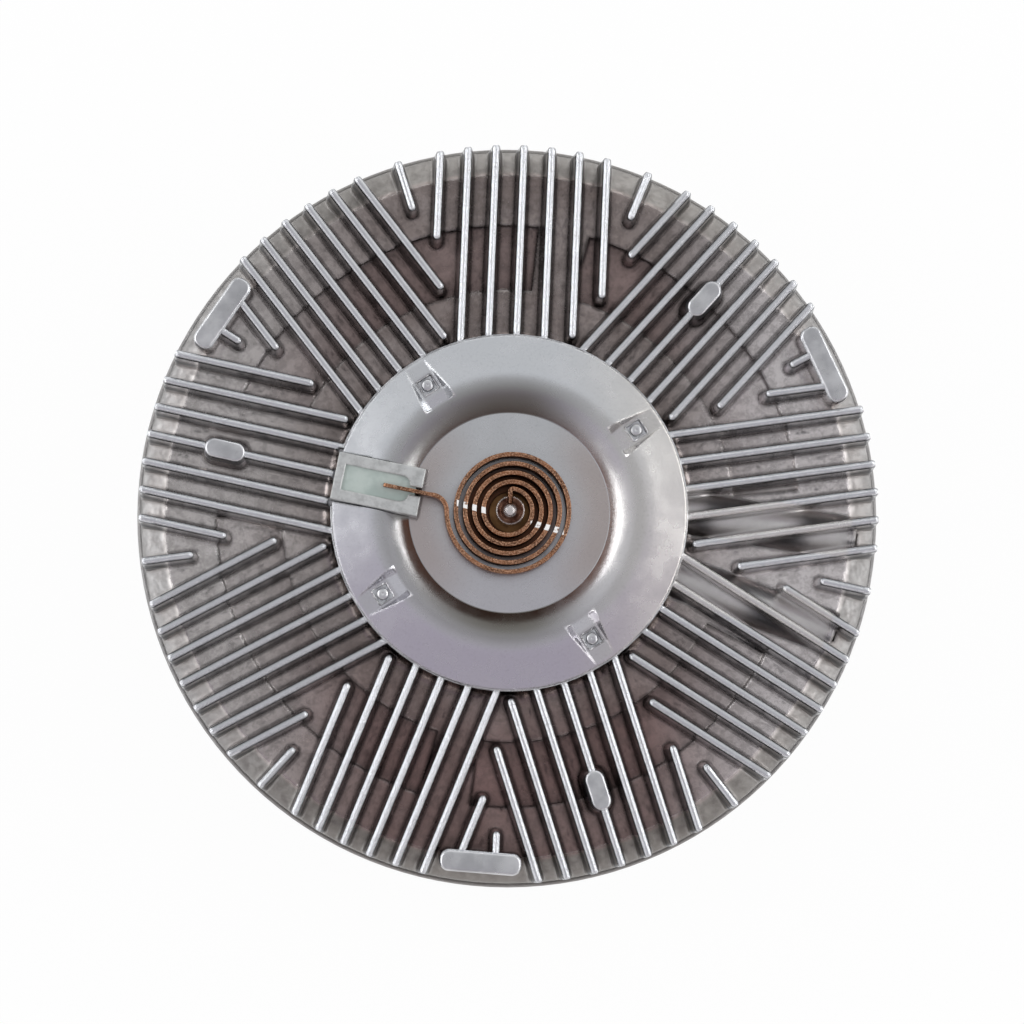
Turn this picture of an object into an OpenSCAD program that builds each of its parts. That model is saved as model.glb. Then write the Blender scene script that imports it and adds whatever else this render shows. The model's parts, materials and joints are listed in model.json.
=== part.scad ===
// Viscous fan clutch with a bimetal coil, millimetres.
// The axis is Z. Z = 0 is the rear end of the hexagon, and the finned front looks up.

/* [Housing] */
// Outside radius of the rear body
rim_r = 102.5; // [100:0.5:106]
// Thickness of the body's rim wall round the working chamber
rim_wall = 5.5; // [5:0.25:6.5]
// Thickness of the lip that is rolled over the cover's flange
lip_t = 0.8; // [0.6:0.1:1.6]
// How far the rolled lip reaches in over the flange
lip_over = 0.2; // [0.1:0.05:0.6]
// Gap between the rolled lip and the cover's edge
lip_gap = 0.1; // [0.05:0.05:0.3]
// Height of the rolled lip above the flange
lip_h = 1; // [0.6:0.1:1.4]
// Height of the cover's flange
flange_h = 5.2; // [4.6:0.1:5.6]
// Depth of the cover's skirt below its inner face
skirt_h = 6; // [5.6:0.1:6.4]
// Thickness of the cover's floor
floor_t = 6; // [5:0.25:8]
// Height of the fins' roots above the pump plate
root_skin = 0.2; // [0.1:0.05:0.4]
// Thickness of the body's rear wall
rear_wall = 6; // [5:0.25:8]
// Length of the bearing seat in front of the bearing circlip
seat_over = 2.65; // [2:0.05:3]
// Width of the sloped rim of the cover, measured along the radius
rim_slope_w = 6.9; // [5:0.1:8]

/* [Fins] */
// Distance between neighbouring parallel fins
fin_pitch = 7.65; // [7:0.05:8]
// Height of the fins above the cover's floor
fin_h = 12.5; // [9:0.25:14]
// Radius of a fin's round top edge
fin_top_r = 1.1; // [0.8:0.05:1.3]
// Half width of a fin at its root
fin_root_hw = 2.1; // [1.6:0.05:2.4]
// Distance of the fins' outer ends from the edge of the cover
fin_inset = 0.25; // [0.2:0.05:1]
// Depth by which the fins' outer noses are trimmed
fin_trim = 0.3; // [0.2:0.05:0.5]
// Radius at which the pointed fin of each group ends, just outside the hub
fin_point_r = 51.8; // [51:0.2:60]
// Radius at which the medium fin of each group ends
fin_medium_r = 65; // [62:0.5:72]
// Radius at which the half-length fin of each group ends
fin_half_r = 78.5; // [72:0.5:84]
// Radius at which the short fin between two groups ends
fin_short_r = 88; // [84:0.5:90]
// Length of a rim pad
pad_l = 22; // [18:0.5:24]
// Width of a rim pad along the radius
pad_w = 5.5; // [4:0.25:7]
// Corner radius of a rim pad
pad_corner = 2.4; // [1:0.1:2.6]
// Distance of a rim pad's middle from the edge of the cover
pad_inset = 6; // [5:0.1:7]
// Radius on which the oval posts lie
post_r = 79.5; // [76:0.5:84]
// Length of an oval post's flat top
post_l = 11; // [9:0.5:13]
// Half width of an oval post's flat top
post_hw = 2.5; // [2:0.1:3]
// Half width of an oval post at its root
post_root_hw = 4.4; // [3.4:0.1:5]

/* [Cover floor] */
// Width of the hub ring outside the stamped plate
hub_edge = 0.5; // [0.3:0.1:2]
// Height of the hub ring above the floor
hub_h = 13.2; // [13.2:0.2:15]
// Radius of the opening in the top of the hub ring
hub_open_r = 38; // [36:0.5:39]
// Thickness of the hub ring's top
hub_top_t = 7.8; // [6:0.2:9]
// Radius of the fluid reservoir
reservoir_r = 45; // [43:0.5:46]
// Fillet at the foot of the hub ring
hub_fillet = 3; // [1:0.25:4]
// Inner radius of the recessed band in the floor
recess_in_r = 62.5; // [60:0.5:66]
// Outer radius of the recessed band in the floor
recess_out_r = 80.5; // [76:0.5:84]
// Depth of the recessed band
recess_d = 2; // [1:0.1:2.5]
// Radius of a half-round return-passage rib
passage_rib_r = 6; // [5.6:0.1:7]
// Radius of a drilled return passage
passage_r = 2; // [1.5:0.1:2.2]
// Depth of a passage's axis below the floor
passage_drop = 1; // [0.5:0.1:2]
// Distance of the second passage rib from the axis
passage_offset = 8.4; // [6:0.2:10]
// Distance of the passage ribs' ends from the edge of the cover
passage_inset = 6; // [5:0.1:7]
// Distance of a return passage's mouth from the chamber's wall
return_inset = 5.6; // [5.5:0.1:6]
// Length of a passage plug
plug_l = 2; // [1:0.25:2.5]

/* [Reservoir plate] */
// Outside radius of the stamped plate
plate_r = 48.4; // [47.5:0.1:49]
// Sheet thickness
sheet = 1.2; // [0.8:0.1:1.6]
// Radius of the flat middle
flat_r = 27.6; // [26:0.2:29]
// Drop of the flat middle below the stake pockets
flat_drop = 3.8; // [2:0.2:5]
// Radius of the crest line
crest_r = 37; // [36:0.25:39]
// Height of the crest above the stake pockets
crest_h = 3; // [2:0.1:4]
// Rounding of the crest
crest_round = 2.5; // [2:0.25:4]
// Slope of the dished inner wall at the crest, degrees
dish_angle = 60; // [50:1:70]
// Rise of the dished inner wall's control point above the flat
dish_rise = 0.8; // [0.4:0.1:1.5]
// Drop of the plate's edge below the stake pockets
edge_dip = 0.6; // [0.5:0.05:1]
// Width of a stake pocket's floor
pocket_w = 6.2; // [5.8:0.1:8]
// Slope of a stake pocket's sides, run for each millimetre of height
pocket_slope = 0.5; // [0:0.05:0.8]
// Length of a stake pocket's inner ramp
ramp_l = 7; // [6:0.25:8]
// Drop of the inner ramp over its length
ramp_drop = 1.5; // [1:0.1:2]
// Length of a stake pocket's outer end, which bends down
bend_l = 4.1; // [3.5:0.1:4.5]
// Drop of the bent outer end at the plate's edge
bend_drop = 0.45; // [0.3:0.05:0.5]
// Distance of a stake from the plate's edge
stake_inset = 7.2; // [6.8:0.1:7.6]
// Radius of a staking pin
stake_pin_r = 1.4; // [1:0.1:1.8]
// Height of a staking pin above the hub ring
stake_h = 1.5; // [1.2:0.1:2]
// Width of the square window round a stake
window_w = 4.6; // [4.2:0.1:5.4]
// Length of the window along the radius
window_l = 4.6; // [4.2:0.1:5]

/* [Coil and anchor] */
// Width of the anchor block
block_w = 13; // [11:0.5:14]
// Radius of the block's inner end
block_in_r = 24.6; // [24:0.1:26]
// How far the block reaches past the plate's edge
block_over = 0.2; // [0.1:0.1:0.4]
// Height of the block
block_h = 8.3; // [7:0.1:9]
// Width of the potted pocket
potting_w = 7; // [6:0.25:8]
// Depth of the potted pocket
potting_d = 6; // [5:0.25:6.5]
// Wall of the block behind the pocket
block_wall = 2.4; // [2:0.1:3]
// Length of the narrow slot at the block's inner end
neck_l = 3.4; // [3:0.1:4]
// Width of the narrow slot
neck_w = 2.4; // [2:0.1:3]
// Depth of the pressed seat of the block below the plate's flat
block_seat = 0.4; // [0.2:0.1:0.8]
// Level of the potting below the block's top
potting_drop = 0.5; // [0.2:0.1:1]
// Thickness of the bimetal strip
strip_t = 1.2; // [1:0.05:1.3]
// Height of the bimetal strip
strip_h = 8.6; // [7:0.1:10]
// Distance between the coil's turns
coil_pitch = 2.5; // [2.4:0.02:2.6]
// Half turns of the coil before the last quarter turn
coil_half_turns = 9; // [7:2:9]
// Radius of the coil's last quarter turn
coil_in_r = 6; // [5.6:0.05:6.4]
// Length of the coil's tail from its bend to its end
tail_l = 14; // [10:0.5:18]
// How much the tail's straight end is pressed in on each side, to enter the block
tail_press = 0.1; // [0.05:0.05:0.2]
// Length over which the straight end runs into the bend
tail_lap = 0.2; // [0.1:0.1:0.4]
// Gap between the plate's flat and the coil
coil_lift = 0.8; // [0.4:0.1:1.5]

/* [Valve] */
// Radius of the valve shaft in its bush
valve_r = 3; // [2.5:0.1:3.2]
// Radius of the valve shaft's slotted head
valve_head_r = 3.9; // [3.6:0.05:3.95]
// Height of the shaft's head above the coil
valve_head_over = 0.8; // [0.4:0.1:1.5]
// Edge chamfer of the shaft's head
valve_chamfer = 0.4; // [0.2:0.05:0.6]
// Radius of the pip in the middle of the head
pip_r = 1.5; // [1.2:0.1:1.8]
// Width of the ring groove round the pip
pip_groove_w = 1; // [0.6:0.1:1.2]
// Depth of the ring groove round the pip
pip_groove_d = 1; // [0.5:0.1:1.5]
// Outside radius of the valve bush
bush_r = 5.5; // [5.2:0.1:6.5]
// Radius of the bush's flange
bush_flange_r = 8; // [7:0.25:10]
// Thickness of the bush's flange
bush_flange_t = 1.5; // [1:0.1:2]
// Length of the bush below the plate
bush_l = 8; // [7:0.25:8.5]
// Thickness of the seal ring's section on the valve shaft
valve_seal_t = 1.7; // [1.4:0.1:1.8]
// Thickness of the valve clip
valve_clip_t = 0.8; // [0.6:0.1:1]
// Outside radius of the valve clip
valve_clip_r = 5; // [4:0.25:6]
// Depth of the valve clip's groove
valve_clip_groove = 0.7; // [0.5:0.05:0.9]
// Opening of the valve clip, degrees
valve_clip_gap = 80; // [40:5:100]
// Thickness of the valve arm
arm_t = 0.8; // [0.6:0.1:1]
// Width of the valve arm
arm_w = 5; // [4:0.25:6]
// Radius of the valve arm's hub
arm_hub_r = 6; // [5:0.25:7]
// Step of the shaft's end that carries the valve arm
arm_step = 0.8; // [0.5:0.05:1]
// Radius of the pads at the ends of the valve arm
arm_pad_r = 4; // [3.5:0.1:4.5]
// Radius on which the ports of the pump plate lie
port_pcr = 38; // [34:0.5:40]
// Radius of a port
port_r = 2.5; // [2:0.1:3]
// Direction of the first port
port_angle = 60; // [0:5:90]

/* [Pump plate] */
// Thickness of the pump plate
pump_t = 1.2; // [0.8:0.1:1.4]
// Outside radius of the pump plate
pump_r = 61.8; // [58:0.2:62]
// Number of rivets
rivet_count = 6; // [4:1:10]
// Radius on which the rivets lie
rivet_pcr = 54; // [52:0.5:56]
// Radius of a rivet's shank
rivet_r = 1.6; // [1.2:0.1:2]
// Radius of a rivet's head
rivet_head_r = 3; // [2.5:0.1:3.5]
// Height of a rivet's head
rivet_head_h = 1.2; // [0.8:0.1:1.6]
// Radius of the flat on a rivet's head
rivet_flat_r = 1.8; // [1.2:0.1:2.2]
// Height of the straight edge of a rivet's head
rivet_edge_h = 0.4; // [0.2:0.05:0.6]
// Length of a rivet in the cover
rivet_l = 2.8; // [2:0.1:3.2]

/* [Rotor] */
// Radial gap between the rotor's rim and the body's wall
rotor_rim_gap = 3.5; // [3:0.1:4.5]
// Thickness of the rotor's web
web_t = 5.4; // [4.5:0.1:7]
// Radius of the rotor's hub
rotor_hub_r = 14; // [13:0.25:16]
// Length of the rotor's hub
rotor_hub_l = 16; // [15.2:0.1:16.2]
// Height of the annular lands
land_h = 4; // [3:0.1:4.4]
// Thickness of a land
land_t = 1.5; // [1.2:0.05:1.6]
// Distance between lands of one part
land_pitch = 4; // [3.8:0.05:4.2]
// Radius of the rotor's innermost land
land_first_r = 66; // [65:0.25:68]
// Least width of the rotor's plain rim outside the lands
land_rim = 2.5; // [2:0.1:3]
// Axial gap between lands and the opposite face
land_gap = 0.6; // [0.4:0.05:0.8]
// Number of fluid holes in the web
web_holes = 6; // [4:1:8]
// Radius of a fluid hole
web_hole_r = 4; // [3:0.25:5]
// Radius on which the fluid holes lie
web_hole_pcr = 56; // [45:0.5:58]

/* [Bearing] */
// Bore radius of the bearing
brg_bore_r = 10; // [9.8:0.05:10.2]
// Outside radius of the bearing
brg_out_r = 23.5; // [23.2:0.05:24]
// Width of the bearing
brg_w = 14; // [13:0.25:15]
// Number of balls
ball_count = 8; // [7:1:9]
// Radius of a ball
ball_r = 3.97; // [3.8:0.01:4.05]
// Thickness of the inner ring
brg_inner_t = 3.9; // [3.7:0.05:4.1]
// Thickness of the outer ring
brg_outer_t = 3.9; // [3.7:0.05:4.1]
// Running clearance between balls and races
brg_play = 0.1; // [0.05:0.01:0.15]
// Thickness of a bearing seal
brg_seal_t = 1; // [0.8:0.1:1.2]
// Depth of a seal below the bearing's face
brg_seal_in = 0.4; // [0.2:0.1:0.6]
// Radial thickness of the ball cage
cage_t = 2.6; // [2.2:0.1:3]
// Width of the ball cage
cage_w = 10; // [9.2:0.1:10.4]
// Thickness of the bearing circlip
brg_clip_t = 1.75; // [1.5:0.05:2]
// Radial width of the bearing circlip
brg_clip_w = 4.2; // [3.5:0.1:4.5]
// Depth of the circlip groove in the body
brg_clip_groove = 1.2; // [0.8:0.1:1.6]
// Opening of the bearing circlip, degrees
brg_clip_gap = 30; // [20:2:40]

/* [Drive shaft] */
// Width across the flats of the hexagon
hex_af = 36; // [34:0.5:40]
// Length of the hexagon
hex_h = 20; // [18:0.5:24]
// Edge chamfer of the hexagon
hex_chamfer = 1.6; // [1:0.1:2]
// Height of the hexagon's edge chamfer
hex_chamfer_h = 1; // [0.6:0.1:1.4]
// Radius of the thread's drilled core
thread_r = 13.2; // [12:0.1:13.5]
// Depth of the threaded hole
thread_l = 16; // [12:0.5:17]
// Chamfer at the mouth of the threaded hole
thread_chamfer = 1; // [0.5:0.1:1.5]
// Radius of the neck between hexagon and bearing
neck_r = 13; // [12.5:0.1:13.8]
// Length of the neck
neck_h = 6; // [5:0.25:8]
// Length of shaft beyond the rotor's hub
shaft_over = 2.2; // [1.9:0.1:2.3]
// Chamfer of the shaft's front end
shaft_chamfer = 0.5; // [0.3:0.05:0.6]
// Thickness of the rotor circlip
rotor_clip_t = 1.2; // [1:0.1:1.4]
// Radius of the rotor circlip
rotor_clip_r = 13; // [12:0.25:13.5]
// Depth of the rotor circlip's groove
rotor_clip_groove = 0.7; // [0.5:0.05:1]
// Opening of the rotor circlip, degrees
rotor_clip_gap = 40; // [30:2:60]

/* [Rear body] */
// Outside radius of the bearing boss
brg_boss_r = 30; // [28.5:0.25:33]
// Thickness of the shoulder behind the bearing
shoulder_t = 2.5; // [2:0.1:3]
// Radial width of the shoulder behind the bearing
shoulder_w = 3; // [2:0.1:3.4]
// Radius of the fan's pilot register
pilot_r = 37; // [35:0.25:39]
// Length of the pilot register
pilot_h = 11.4; // [9:0.2:12]
// Edge chamfer of the pilot register and the bearing boss
boss_chamfer = 1; // [0.5:0.1:1.5]
// Distance from the axis to a fan boss
fan_pcr = 50; // [49:0.25:51]
// Radius of a fan boss
fan_boss_r = 9; // [8:0.25:9.5]
// Height of a fan boss behind the rear wall
fan_boss_h = 7.4; // [5:0.2:8.6]
// Radius of a tapped hole's core in a fan boss
fan_hole_r = 3.4; // [2.5:0.1:4.2]
// Depth of a tapped hole
fan_hole_l = 11.5; // [10:0.25:12]
// Number of fan bosses
fan_count = 4; // [3:1:6]
// Number of rear ribs
rear_rib_count = 36; // [24:1:40]
// Height of a rear rib
rear_rib_h = 5; // [3:0.25:6]
// Thickness of a rear rib
rear_rib_t = 3; // [2:0.1:3.5]
// Chamfer at the ends of a rear rib
rear_rib_chamfer = 2.5; // [1:0.25:2.75]
// Radius at which the rear ribs start
rear_rib_in_r = 61; // [60:0.5:70]
// Chamfer of the body's rear outer corner
rear_chamfer = 5; // [3:0.25:5.5]

/* [Seals and wipers] */
// Thickness of the cover seal's square section before it is squeezed
cover_seal_t = 2; // [1.8:0.05:2.2]
// Squeeze of the cover seal
seal_squeeze = 0.2; // [0.1:0.05:0.3]
// Edge chamfer of the cover seal
seal_chamfer = 0.3; // [0.2:0.05:0.5]
// Height of the cover seal's groove above the flange's seat
seal_rise = 1.2; // [0.8:0.1:1.6]
// Radial depth of a wiper block
wiper_w = 2.9; // [2.4:0.1:3.2]
// Length of a wiper block
wiper_l = 8; // [6:0.5:12]
// Height of a wiper block
wiper_h = 5.6; // [4:0.1:5.8]
// Angle from a return passage to its wiper
wiper_lead = 5; // [4:0.5:8]

/* [Fits] */
// Running fit of the valve shaft in the bush
valve_fit = 0.04; // [0.02:0.01:0.08]
// Gap between a bearing seal and the inner ring
seal_fit = 0.1; // [0.05:0.01:0.2]
// Gap between the anchor block and its channel in the plate
block_fit = 0.4; // [0.2:0.1:0.6]
// Axial play of the valve shaft
valve_play = 0.1; // [0.05:0.01:0.2]
// Gap between the valve arm and the pump plate
arm_fit = 0.2; // [0.1:0.05:0.3]
// Clearance of the coil's tab in the shaft's slot
tab_fit = 0.08; // [0.05:0.01:0.15]

/* [Hidden] */
$fn = 96;

// Levels along the axis, from the rear
brg_z = hex_h + neck_h;
brg_top_z = brg_z + brg_w;
chamber_z = brg_top_z + brg_clip_t + seat_over;
web_z = chamber_z + land_gap + land_h;
web_top_z = web_z + web_t;
cover_z = web_top_z + land_h + land_gap;
seat_z = cover_z - skirt_h;
flange_z = seat_z + flange_h;
pump_top_z = cover_z + pump_t;
root_z = pump_top_z + root_skin;
floor_z = cover_z + floor_t;
fin_z = floor_z + fin_h;
hub_z = floor_z + hub_h;
pocket_z = hub_z + sheet;
edge_z = pocket_z - edge_dip;
flat_z = pocket_z - flat_drop;
seat_flat_z = flat_z - block_seat;
block_z = seat_flat_z + block_h;
coil_z = flat_z + coil_lift;
coil_top_z = coil_z + strip_h;
seal_z = seat_z + seal_rise;
rear_z = chamber_z - rear_wall;

// Radii
chamber_r = rim_r - rim_wall;
flange_r = rim_r - lip_t;
cover_edge_r = flange_r - lip_over - lip_gap;
fin_end_r = cover_edge_r - fin_inset;
slope_r = cover_edge_r - rim_slope_w;
hub_r = plate_r + hub_edge;
stake_r = plate_r - stake_inset;
bend_r = plate_r - bend_l;
block_out_r = plate_r + block_over;
pad_r = cover_edge_r - pad_inset;
passage_end_r = cover_edge_r - passage_inset;
return_r = chamber_r - return_inset;
seal_in_r = flange_r - cover_seal_t + seal_squeeze;
rotor_r = chamber_r - rotor_rim_gap;
ball_pcr = (brg_bore_r + brg_out_r) / 2;
coil_shift = coil_pitch / 4;
coil_out_r = coil_in_r + coil_shift + (coil_half_turns - 1) * coil_pitch / 2;
coil_start = coil_out_r + coil_shift;

// Lands that fit on each face of the rotor
land_count = 1 + floor((rotor_r - land_rim - land_t / 2 - land_first_r) / land_pitch);

// Directions in degrees
group_first = 7.7;
group_step = 40;
group_count = 9;
short_lead = group_step / 2;
pad_lead = 17.6;
stake_first = 33;
anchor_angle = 168.5;
fan_first = 45;
passage_angles = [340, 351];
passage_offsets = [0, passage_offset];
recess_spans = [[5, 73.8], [84, 155], [180.5, 252], [262.4, 331.5]];

// The tail bends so that its straight end lies on the anchor block's middle line, to a thousandth
micron = 0.001;
tail_turn = anchor_angle - 90;
tail_bend_r = round(coil_start * cos(tail_turn) / (1 - cos(tail_turn)) / micron) * micron;

// Small overlap that lets a cut pass through a face
cut = 1;

// Straight steps that round the plate's crest and its dished wall
crest_steps = 8;
dish_steps = 8;

// Share by which the outer slope of the plate's lower form is lengthened, so that it cuts through the edge
slope_over = 0.2;

// Counts that follow from the construction
stake_count = 4;
port_count = 2;

// Direction from a circle's centre to the point where a line from p touches its upper side
function touch_angle(p, c, r) = atan2(p[1] - c[1], p[0] - c[0]) + acos(r / norm(p - c));

// Points of an arc from one angle to another
function arc(c, r, from, to, steps) =
    [for (i = [0 : steps]) let (a = from + (to - from) * i / steps) c + r * [cos(a), sin(a)]];

// Points of a curve from one point to another, drawn towards a control point
function curve(from, control, to, steps) =
    [for (i = [0 : steps]) let (t = i / steps)
        (1 - t) * (1 - t) * from + 2 * t * (1 - t) * control + t * t * to];

// Distance along a line at the given offset from the axis at which the radius is reached
function along(r, offset) = sqrt(r * r - offset * offset);

// Ring of rectangular section
module ring(r_in, r_out, z_low, z_high) {
    rotate_extrude()
        translate([r_in, z_low])
            square([r_out - r_in, z_high - z_low]);
}

// Part of a ring, swept from one angle to another
module ring_span(r_in, r_out, z_low, z_high, from, to) {
    rotate([0, 0, from])
        rotate_extrude(angle = to - from)
            translate([r_in, z_low])
                square([r_out - r_in, z_high - z_low]);
}

// Copies of the children at equal angles round the axis
module around(count, first = 0) {
    for (i = [0 : count - 1])
        rotate([0, 0, first + i * 360 / count])
            children();
}

// Rectangle with round corners, centred
module round_rectangle(l, w, r) {
    square([l - 2 * r, w], center = true);
    square([l, w - 2 * r], center = true);
    for (x = [-1, 1], y = [-1, 1])
        translate([x * (l / 2 - r), y * (w / 2 - r)])
            circle(r);
}

// Section of a fin: drafted sides and a full-round top
module fin_section() {
    top = fin_z - fin_top_r;
    polygon([[-fin_root_hw, root_z], [fin_root_hw, root_z], [fin_top_r, top], [-fin_top_r, top]]);
    translate([0, top])
        circle(fin_top_r);
}

// Half round end of a fin, drafted like its sides
module fin_nose() {
    rotate([0, 0, -90])
        rotate_extrude(angle = 180)
            intersection() {
                fin_section();
                translate([0, root_z])
                    square([fin_root_hw, fin_z - root_z]);
            }
}

// Fin that lies along X between two points, with a nose at each free end
module fin(x_in, x_out, inner_nose = true, outer_nose = true) {
    translate([x_in, 0, 0])
        rotate([90, 0, 90])
            linear_extrude(x_out - x_in)
                fin_section();
    if (outer_nose)
        translate([x_out, 0, 0])
            fin_nose();
    if (inner_nose)
        translate([x_in, 0, 0])
            rotate([0, 0, 180])
                fin_nose();
}

// Fin of a group at the given offset from the group's middle line
module group_fin(offset, r_in, r_out, inner_nose = true, outer_nose = true) {
    translate([0, offset, 0])
        fin(along(r_in, offset), along(r_out, offset), inner_nose, outer_nose);
}

// Seven parallel fins and the short fin that follows them; a padded group ends two of them in a rim pad
module fin_group(padded) {
    tip_r = fin_end_r - fin_top_r + fin_trim;
    for (k = [-1 : 2])
        group_fin(k * fin_pitch, hub_r - fin_root_hw, tip_r, inner_nose = false);
    group_fin(-2 * fin_pitch, fin_point_r, tip_r);
    group_fin(-3 * fin_pitch, fin_medium_r, tip_r);
    group_fin(3 * fin_pitch, fin_half_r, padded ? pad_r : tip_r, outer_nose = !padded);
    rotate([0, 0, short_lead])
        fin(fin_short_r, padded ? pad_r : tip_r, outer_nose = !padded);
}

// All fins, with the rim pads and the oval posts, trimmed at the cover's edge
module all_fins() {
    intersection() {
        for (i = [0 : group_count - 1])
            rotate([0, 0, group_first + i * group_step]) {
                fin_group(i % 3 == 0);
                if (i % 3 == 0)
                    rim_pad();
                if (i % 3 == 1)
                    translate([post_r, 0, root_z])
                        oval_post();
            }
        translate([0, 0, root_z - cut])
            cylinder(r = fin_end_r, h = fin_z - root_z + 2 * cut);
    }
}

// Flat-topped pad at the rim
module rim_pad() {
    rotate([0, 0, pad_lead])
        translate([pad_r, 0, root_z])
            linear_extrude(fin_z - root_z)
                rotate([0, 0, 90])
                    round_rectangle(pad_l, pad_w, pad_corner);
}

// Oval post with drafted sides and a flat top
module oval_post() {
    h = fin_z - root_z;
    half_l = post_l / 2 - post_hw;
    rotate([90, 0, 90])
        translate([0, 0, -half_l])
            linear_extrude(2 * half_l)
                polygon([[-post_root_hw, 0], [post_root_hw, 0], [post_hw, h], [-post_hw, h]]);
    for (side = [-1, 1])
        translate([side * half_l, 0, 0])
            rotate([0, 0, -side * 90])
                rotate_extrude(angle = 180)
                    polygon([[0, 0], [post_root_hw, 0], [post_hw, h], [0, h]]);
}

// Places the children on each return passage, with X along the passage
module on_passages() {
    for (i = [0 : len(passage_angles) - 1])
        rotate([0, 0, passage_angles[i]])
            translate([0, passage_offsets[i], floor_z - passage_drop])
                children();
}

// Half-round rib that hides a return passage
module passage_rib() {
    translate([hub_r - fin_root_hw, 0, 0])
        rotate([90, 0, 90])
            linear_extrude(passage_end_r - hub_r + fin_root_hw)
                intersection() {
                    circle(passage_rib_r);
                    translate([-passage_rib_r, root_z - floor_z + passage_drop])
                        square(2 * passage_rib_r);
                }
}

// Drilled return passage with its branch into the chamber
module passage_bore() {
    translate([reservoir_r - passage_rib_r, 0, 0])
        rotate([0, 90, 0])
            cylinder(r = passage_r, h = passage_end_r + cut - reservoir_r + passage_rib_r);
    translate([return_r, 0, cover_z - cut - floor_z + passage_drop])
        cylinder(r = passage_r, h = floor_z - passage_drop - cover_z + cut);
}

// Half section of the cover without fins
module cover_profile() {
    polygon([
        [hub_open_r, hub_z], [bend_r, hub_z], [plate_r, hub_z - edge_dip], [hub_r, hub_z - edge_dip],
        [hub_r, floor_z], [slope_r, floor_z], [cover_edge_r, root_z],
        [cover_edge_r, flange_z], [flange_r, flange_z], [flange_r, seal_z + cover_seal_t],
        [seal_in_r, seal_z + cover_seal_t], [seal_in_r, seal_z], [flange_r, seal_z],
        [flange_r, seat_z], [chamber_r, seat_z], [chamber_r, cover_z], [pump_r, cover_z],
        [pump_r, pump_top_z], [reservoir_r, pump_top_z],
        [reservoir_r, hub_z - hub_top_t], [hub_open_r, hub_z - hub_top_t]
    ]);
    translate([hub_r, floor_z])
        difference() {
            square(hub_fillet);
            translate([hub_fillet, hub_fillet])
                circle(hub_fillet);
        }
}

// Lands between those of the rotor
module counter_lands(z_low, z_high) {
    for (i = [0 : land_count - 2])
        ring(land_first_r + (i + 0.5) * land_pitch - land_t / 2,
            land_first_r + (i + 0.5) * land_pitch + land_t / 2, z_low, z_high);
}

// Channel along X with sloped sides, open at the top and at both ends
module channel(x_in, x_out, floor_w, slope, z_low) {
    h = pocket_z + crest_h + cut - z_low;
    translate([x_in, 0, z_low])
        rotate([90, 0, 90])
            linear_extrude(x_out - x_in)
                polygon([[-floor_w / 2, 0], [floor_w / 2, 0], [floor_w / 2 + slope * h, h],
                    [-floor_w / 2 - slope * h, h]]);
}

// Stake pocket along X: a flat floor with a ramp at its inner end and a bend at its outer end, sloped sides
module stake_pocket(wall) {
    ramp_r = hub_open_r - ramp_l;
    low_z = pocket_z - ramp_drop - wall;
    low_w = pocket_w + 2 * wall - 2 * pocket_slope * ramp_drop;
    intersection() {
        rotate([90, 0, 0])
            linear_extrude(plate_r, center = true)
                translate([0, -wall])
                    polygon([[ramp_r, pocket_z - ramp_drop], [hub_open_r, pocket_z], [bend_r, pocket_z],
                        [plate_r + cut, pocket_z - bend_drop * (bend_l + cut) / bend_l],
                        [plate_r + cut, block_z], [ramp_r, block_z]]);
        channel(ramp_r, plate_r + cut, low_w, pocket_slope, low_z);
    }
}

// Channels pressed into the plate: one for the anchor block and one for each stake, grown by a wall
module plate_channels(wall) {
    around(stake_count, stake_first)
        stake_pocket(wall);
    rotate([0, 0, anchor_angle])
        channel(block_in_r - block_fit - wall, block_out_r + block_fit, block_w + 2 * block_fit + 2 * wall, 0,
            seat_flat_z - wall);
}

// Half section of the plate's upper side, filled down to a level below it; over lengthens its outer slope
module plate_profile(over) {
    centre = [crest_r, pocket_z + crest_h - crest_round];
    base_z = seat_flat_z - 2 * sheet;
    edge = [plate_r, edge_z];
    crest = arc(centre, crest_round, 90 + dish_angle, touch_angle(edge, centre, crest_round), crest_steps);
    control_z = flat_z + dish_rise;
    control = [crest[0][0] - (crest[0][1] - control_z) / tan(dish_angle), control_z];
    dish = curve([flat_r, flat_z], control, crest[0], dish_steps);
    slope_end = edge + (edge - crest[crest_steps]) * over;
    polygon(concat([[0, base_z], [0, flat_z]], dish, [for (i = [1 : crest_steps]) crest[i]],
        [slope_end, [slope_end[0], base_z]]));
}

// Solid under the plate's upper side with its channels cut in, or the same solid one sheet lower
module plate_form(wall, over) {
    difference() {
        translate([0, 0, -wall])
            rotate_extrude()
                plate_profile(over);
        plate_channels(wall);
    }
}

// Outline of the potted pocket in the block's own frame, X along its radius
module pocket_outline() {
    shoulder_x = block_in_r + neck_l;
    back_x = block_out_r - block_wall;
    round_r = (potting_w - neck_w) / 2;
    translate([block_in_r - cut, -neck_w / 2])
        square([neck_l + round_r + cut, neck_w]);
    translate([shoulder_x + round_r, -potting_w / 2])
        square([back_x - shoulder_x - round_r, potting_w]);
    for (side = [-1, 1])
        intersection() {
            translate([shoulder_x + round_r, side * neck_w / 2])
                circle(round_r);
            translate([shoulder_x, side > 0 ? neck_w / 2 : -potting_w / 2])
                square(round_r);
        }
}

// Tail of the coil in the block's own frame: a straight strip on the middle line
module tail_straight() {
    bend_x = norm([-coil_start - tail_bend_r + tail_bend_r * cos(tail_turn), tail_bend_r * sin(tail_turn)]);
    translate([bend_x - tail_lap, tail_press - strip_t / 2, coil_z + tail_press])
        cube([tail_l + tail_lap, strip_t - 2 * tail_press, strip_h - 2 * tail_press]);
}

// Half turn or quarter turn of the strip
module strip_arc(r, from, span) {
    ring_span(r - strip_t / 2, r + strip_t / 2, coil_z, coil_top_z, from, from + span);
}

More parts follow.
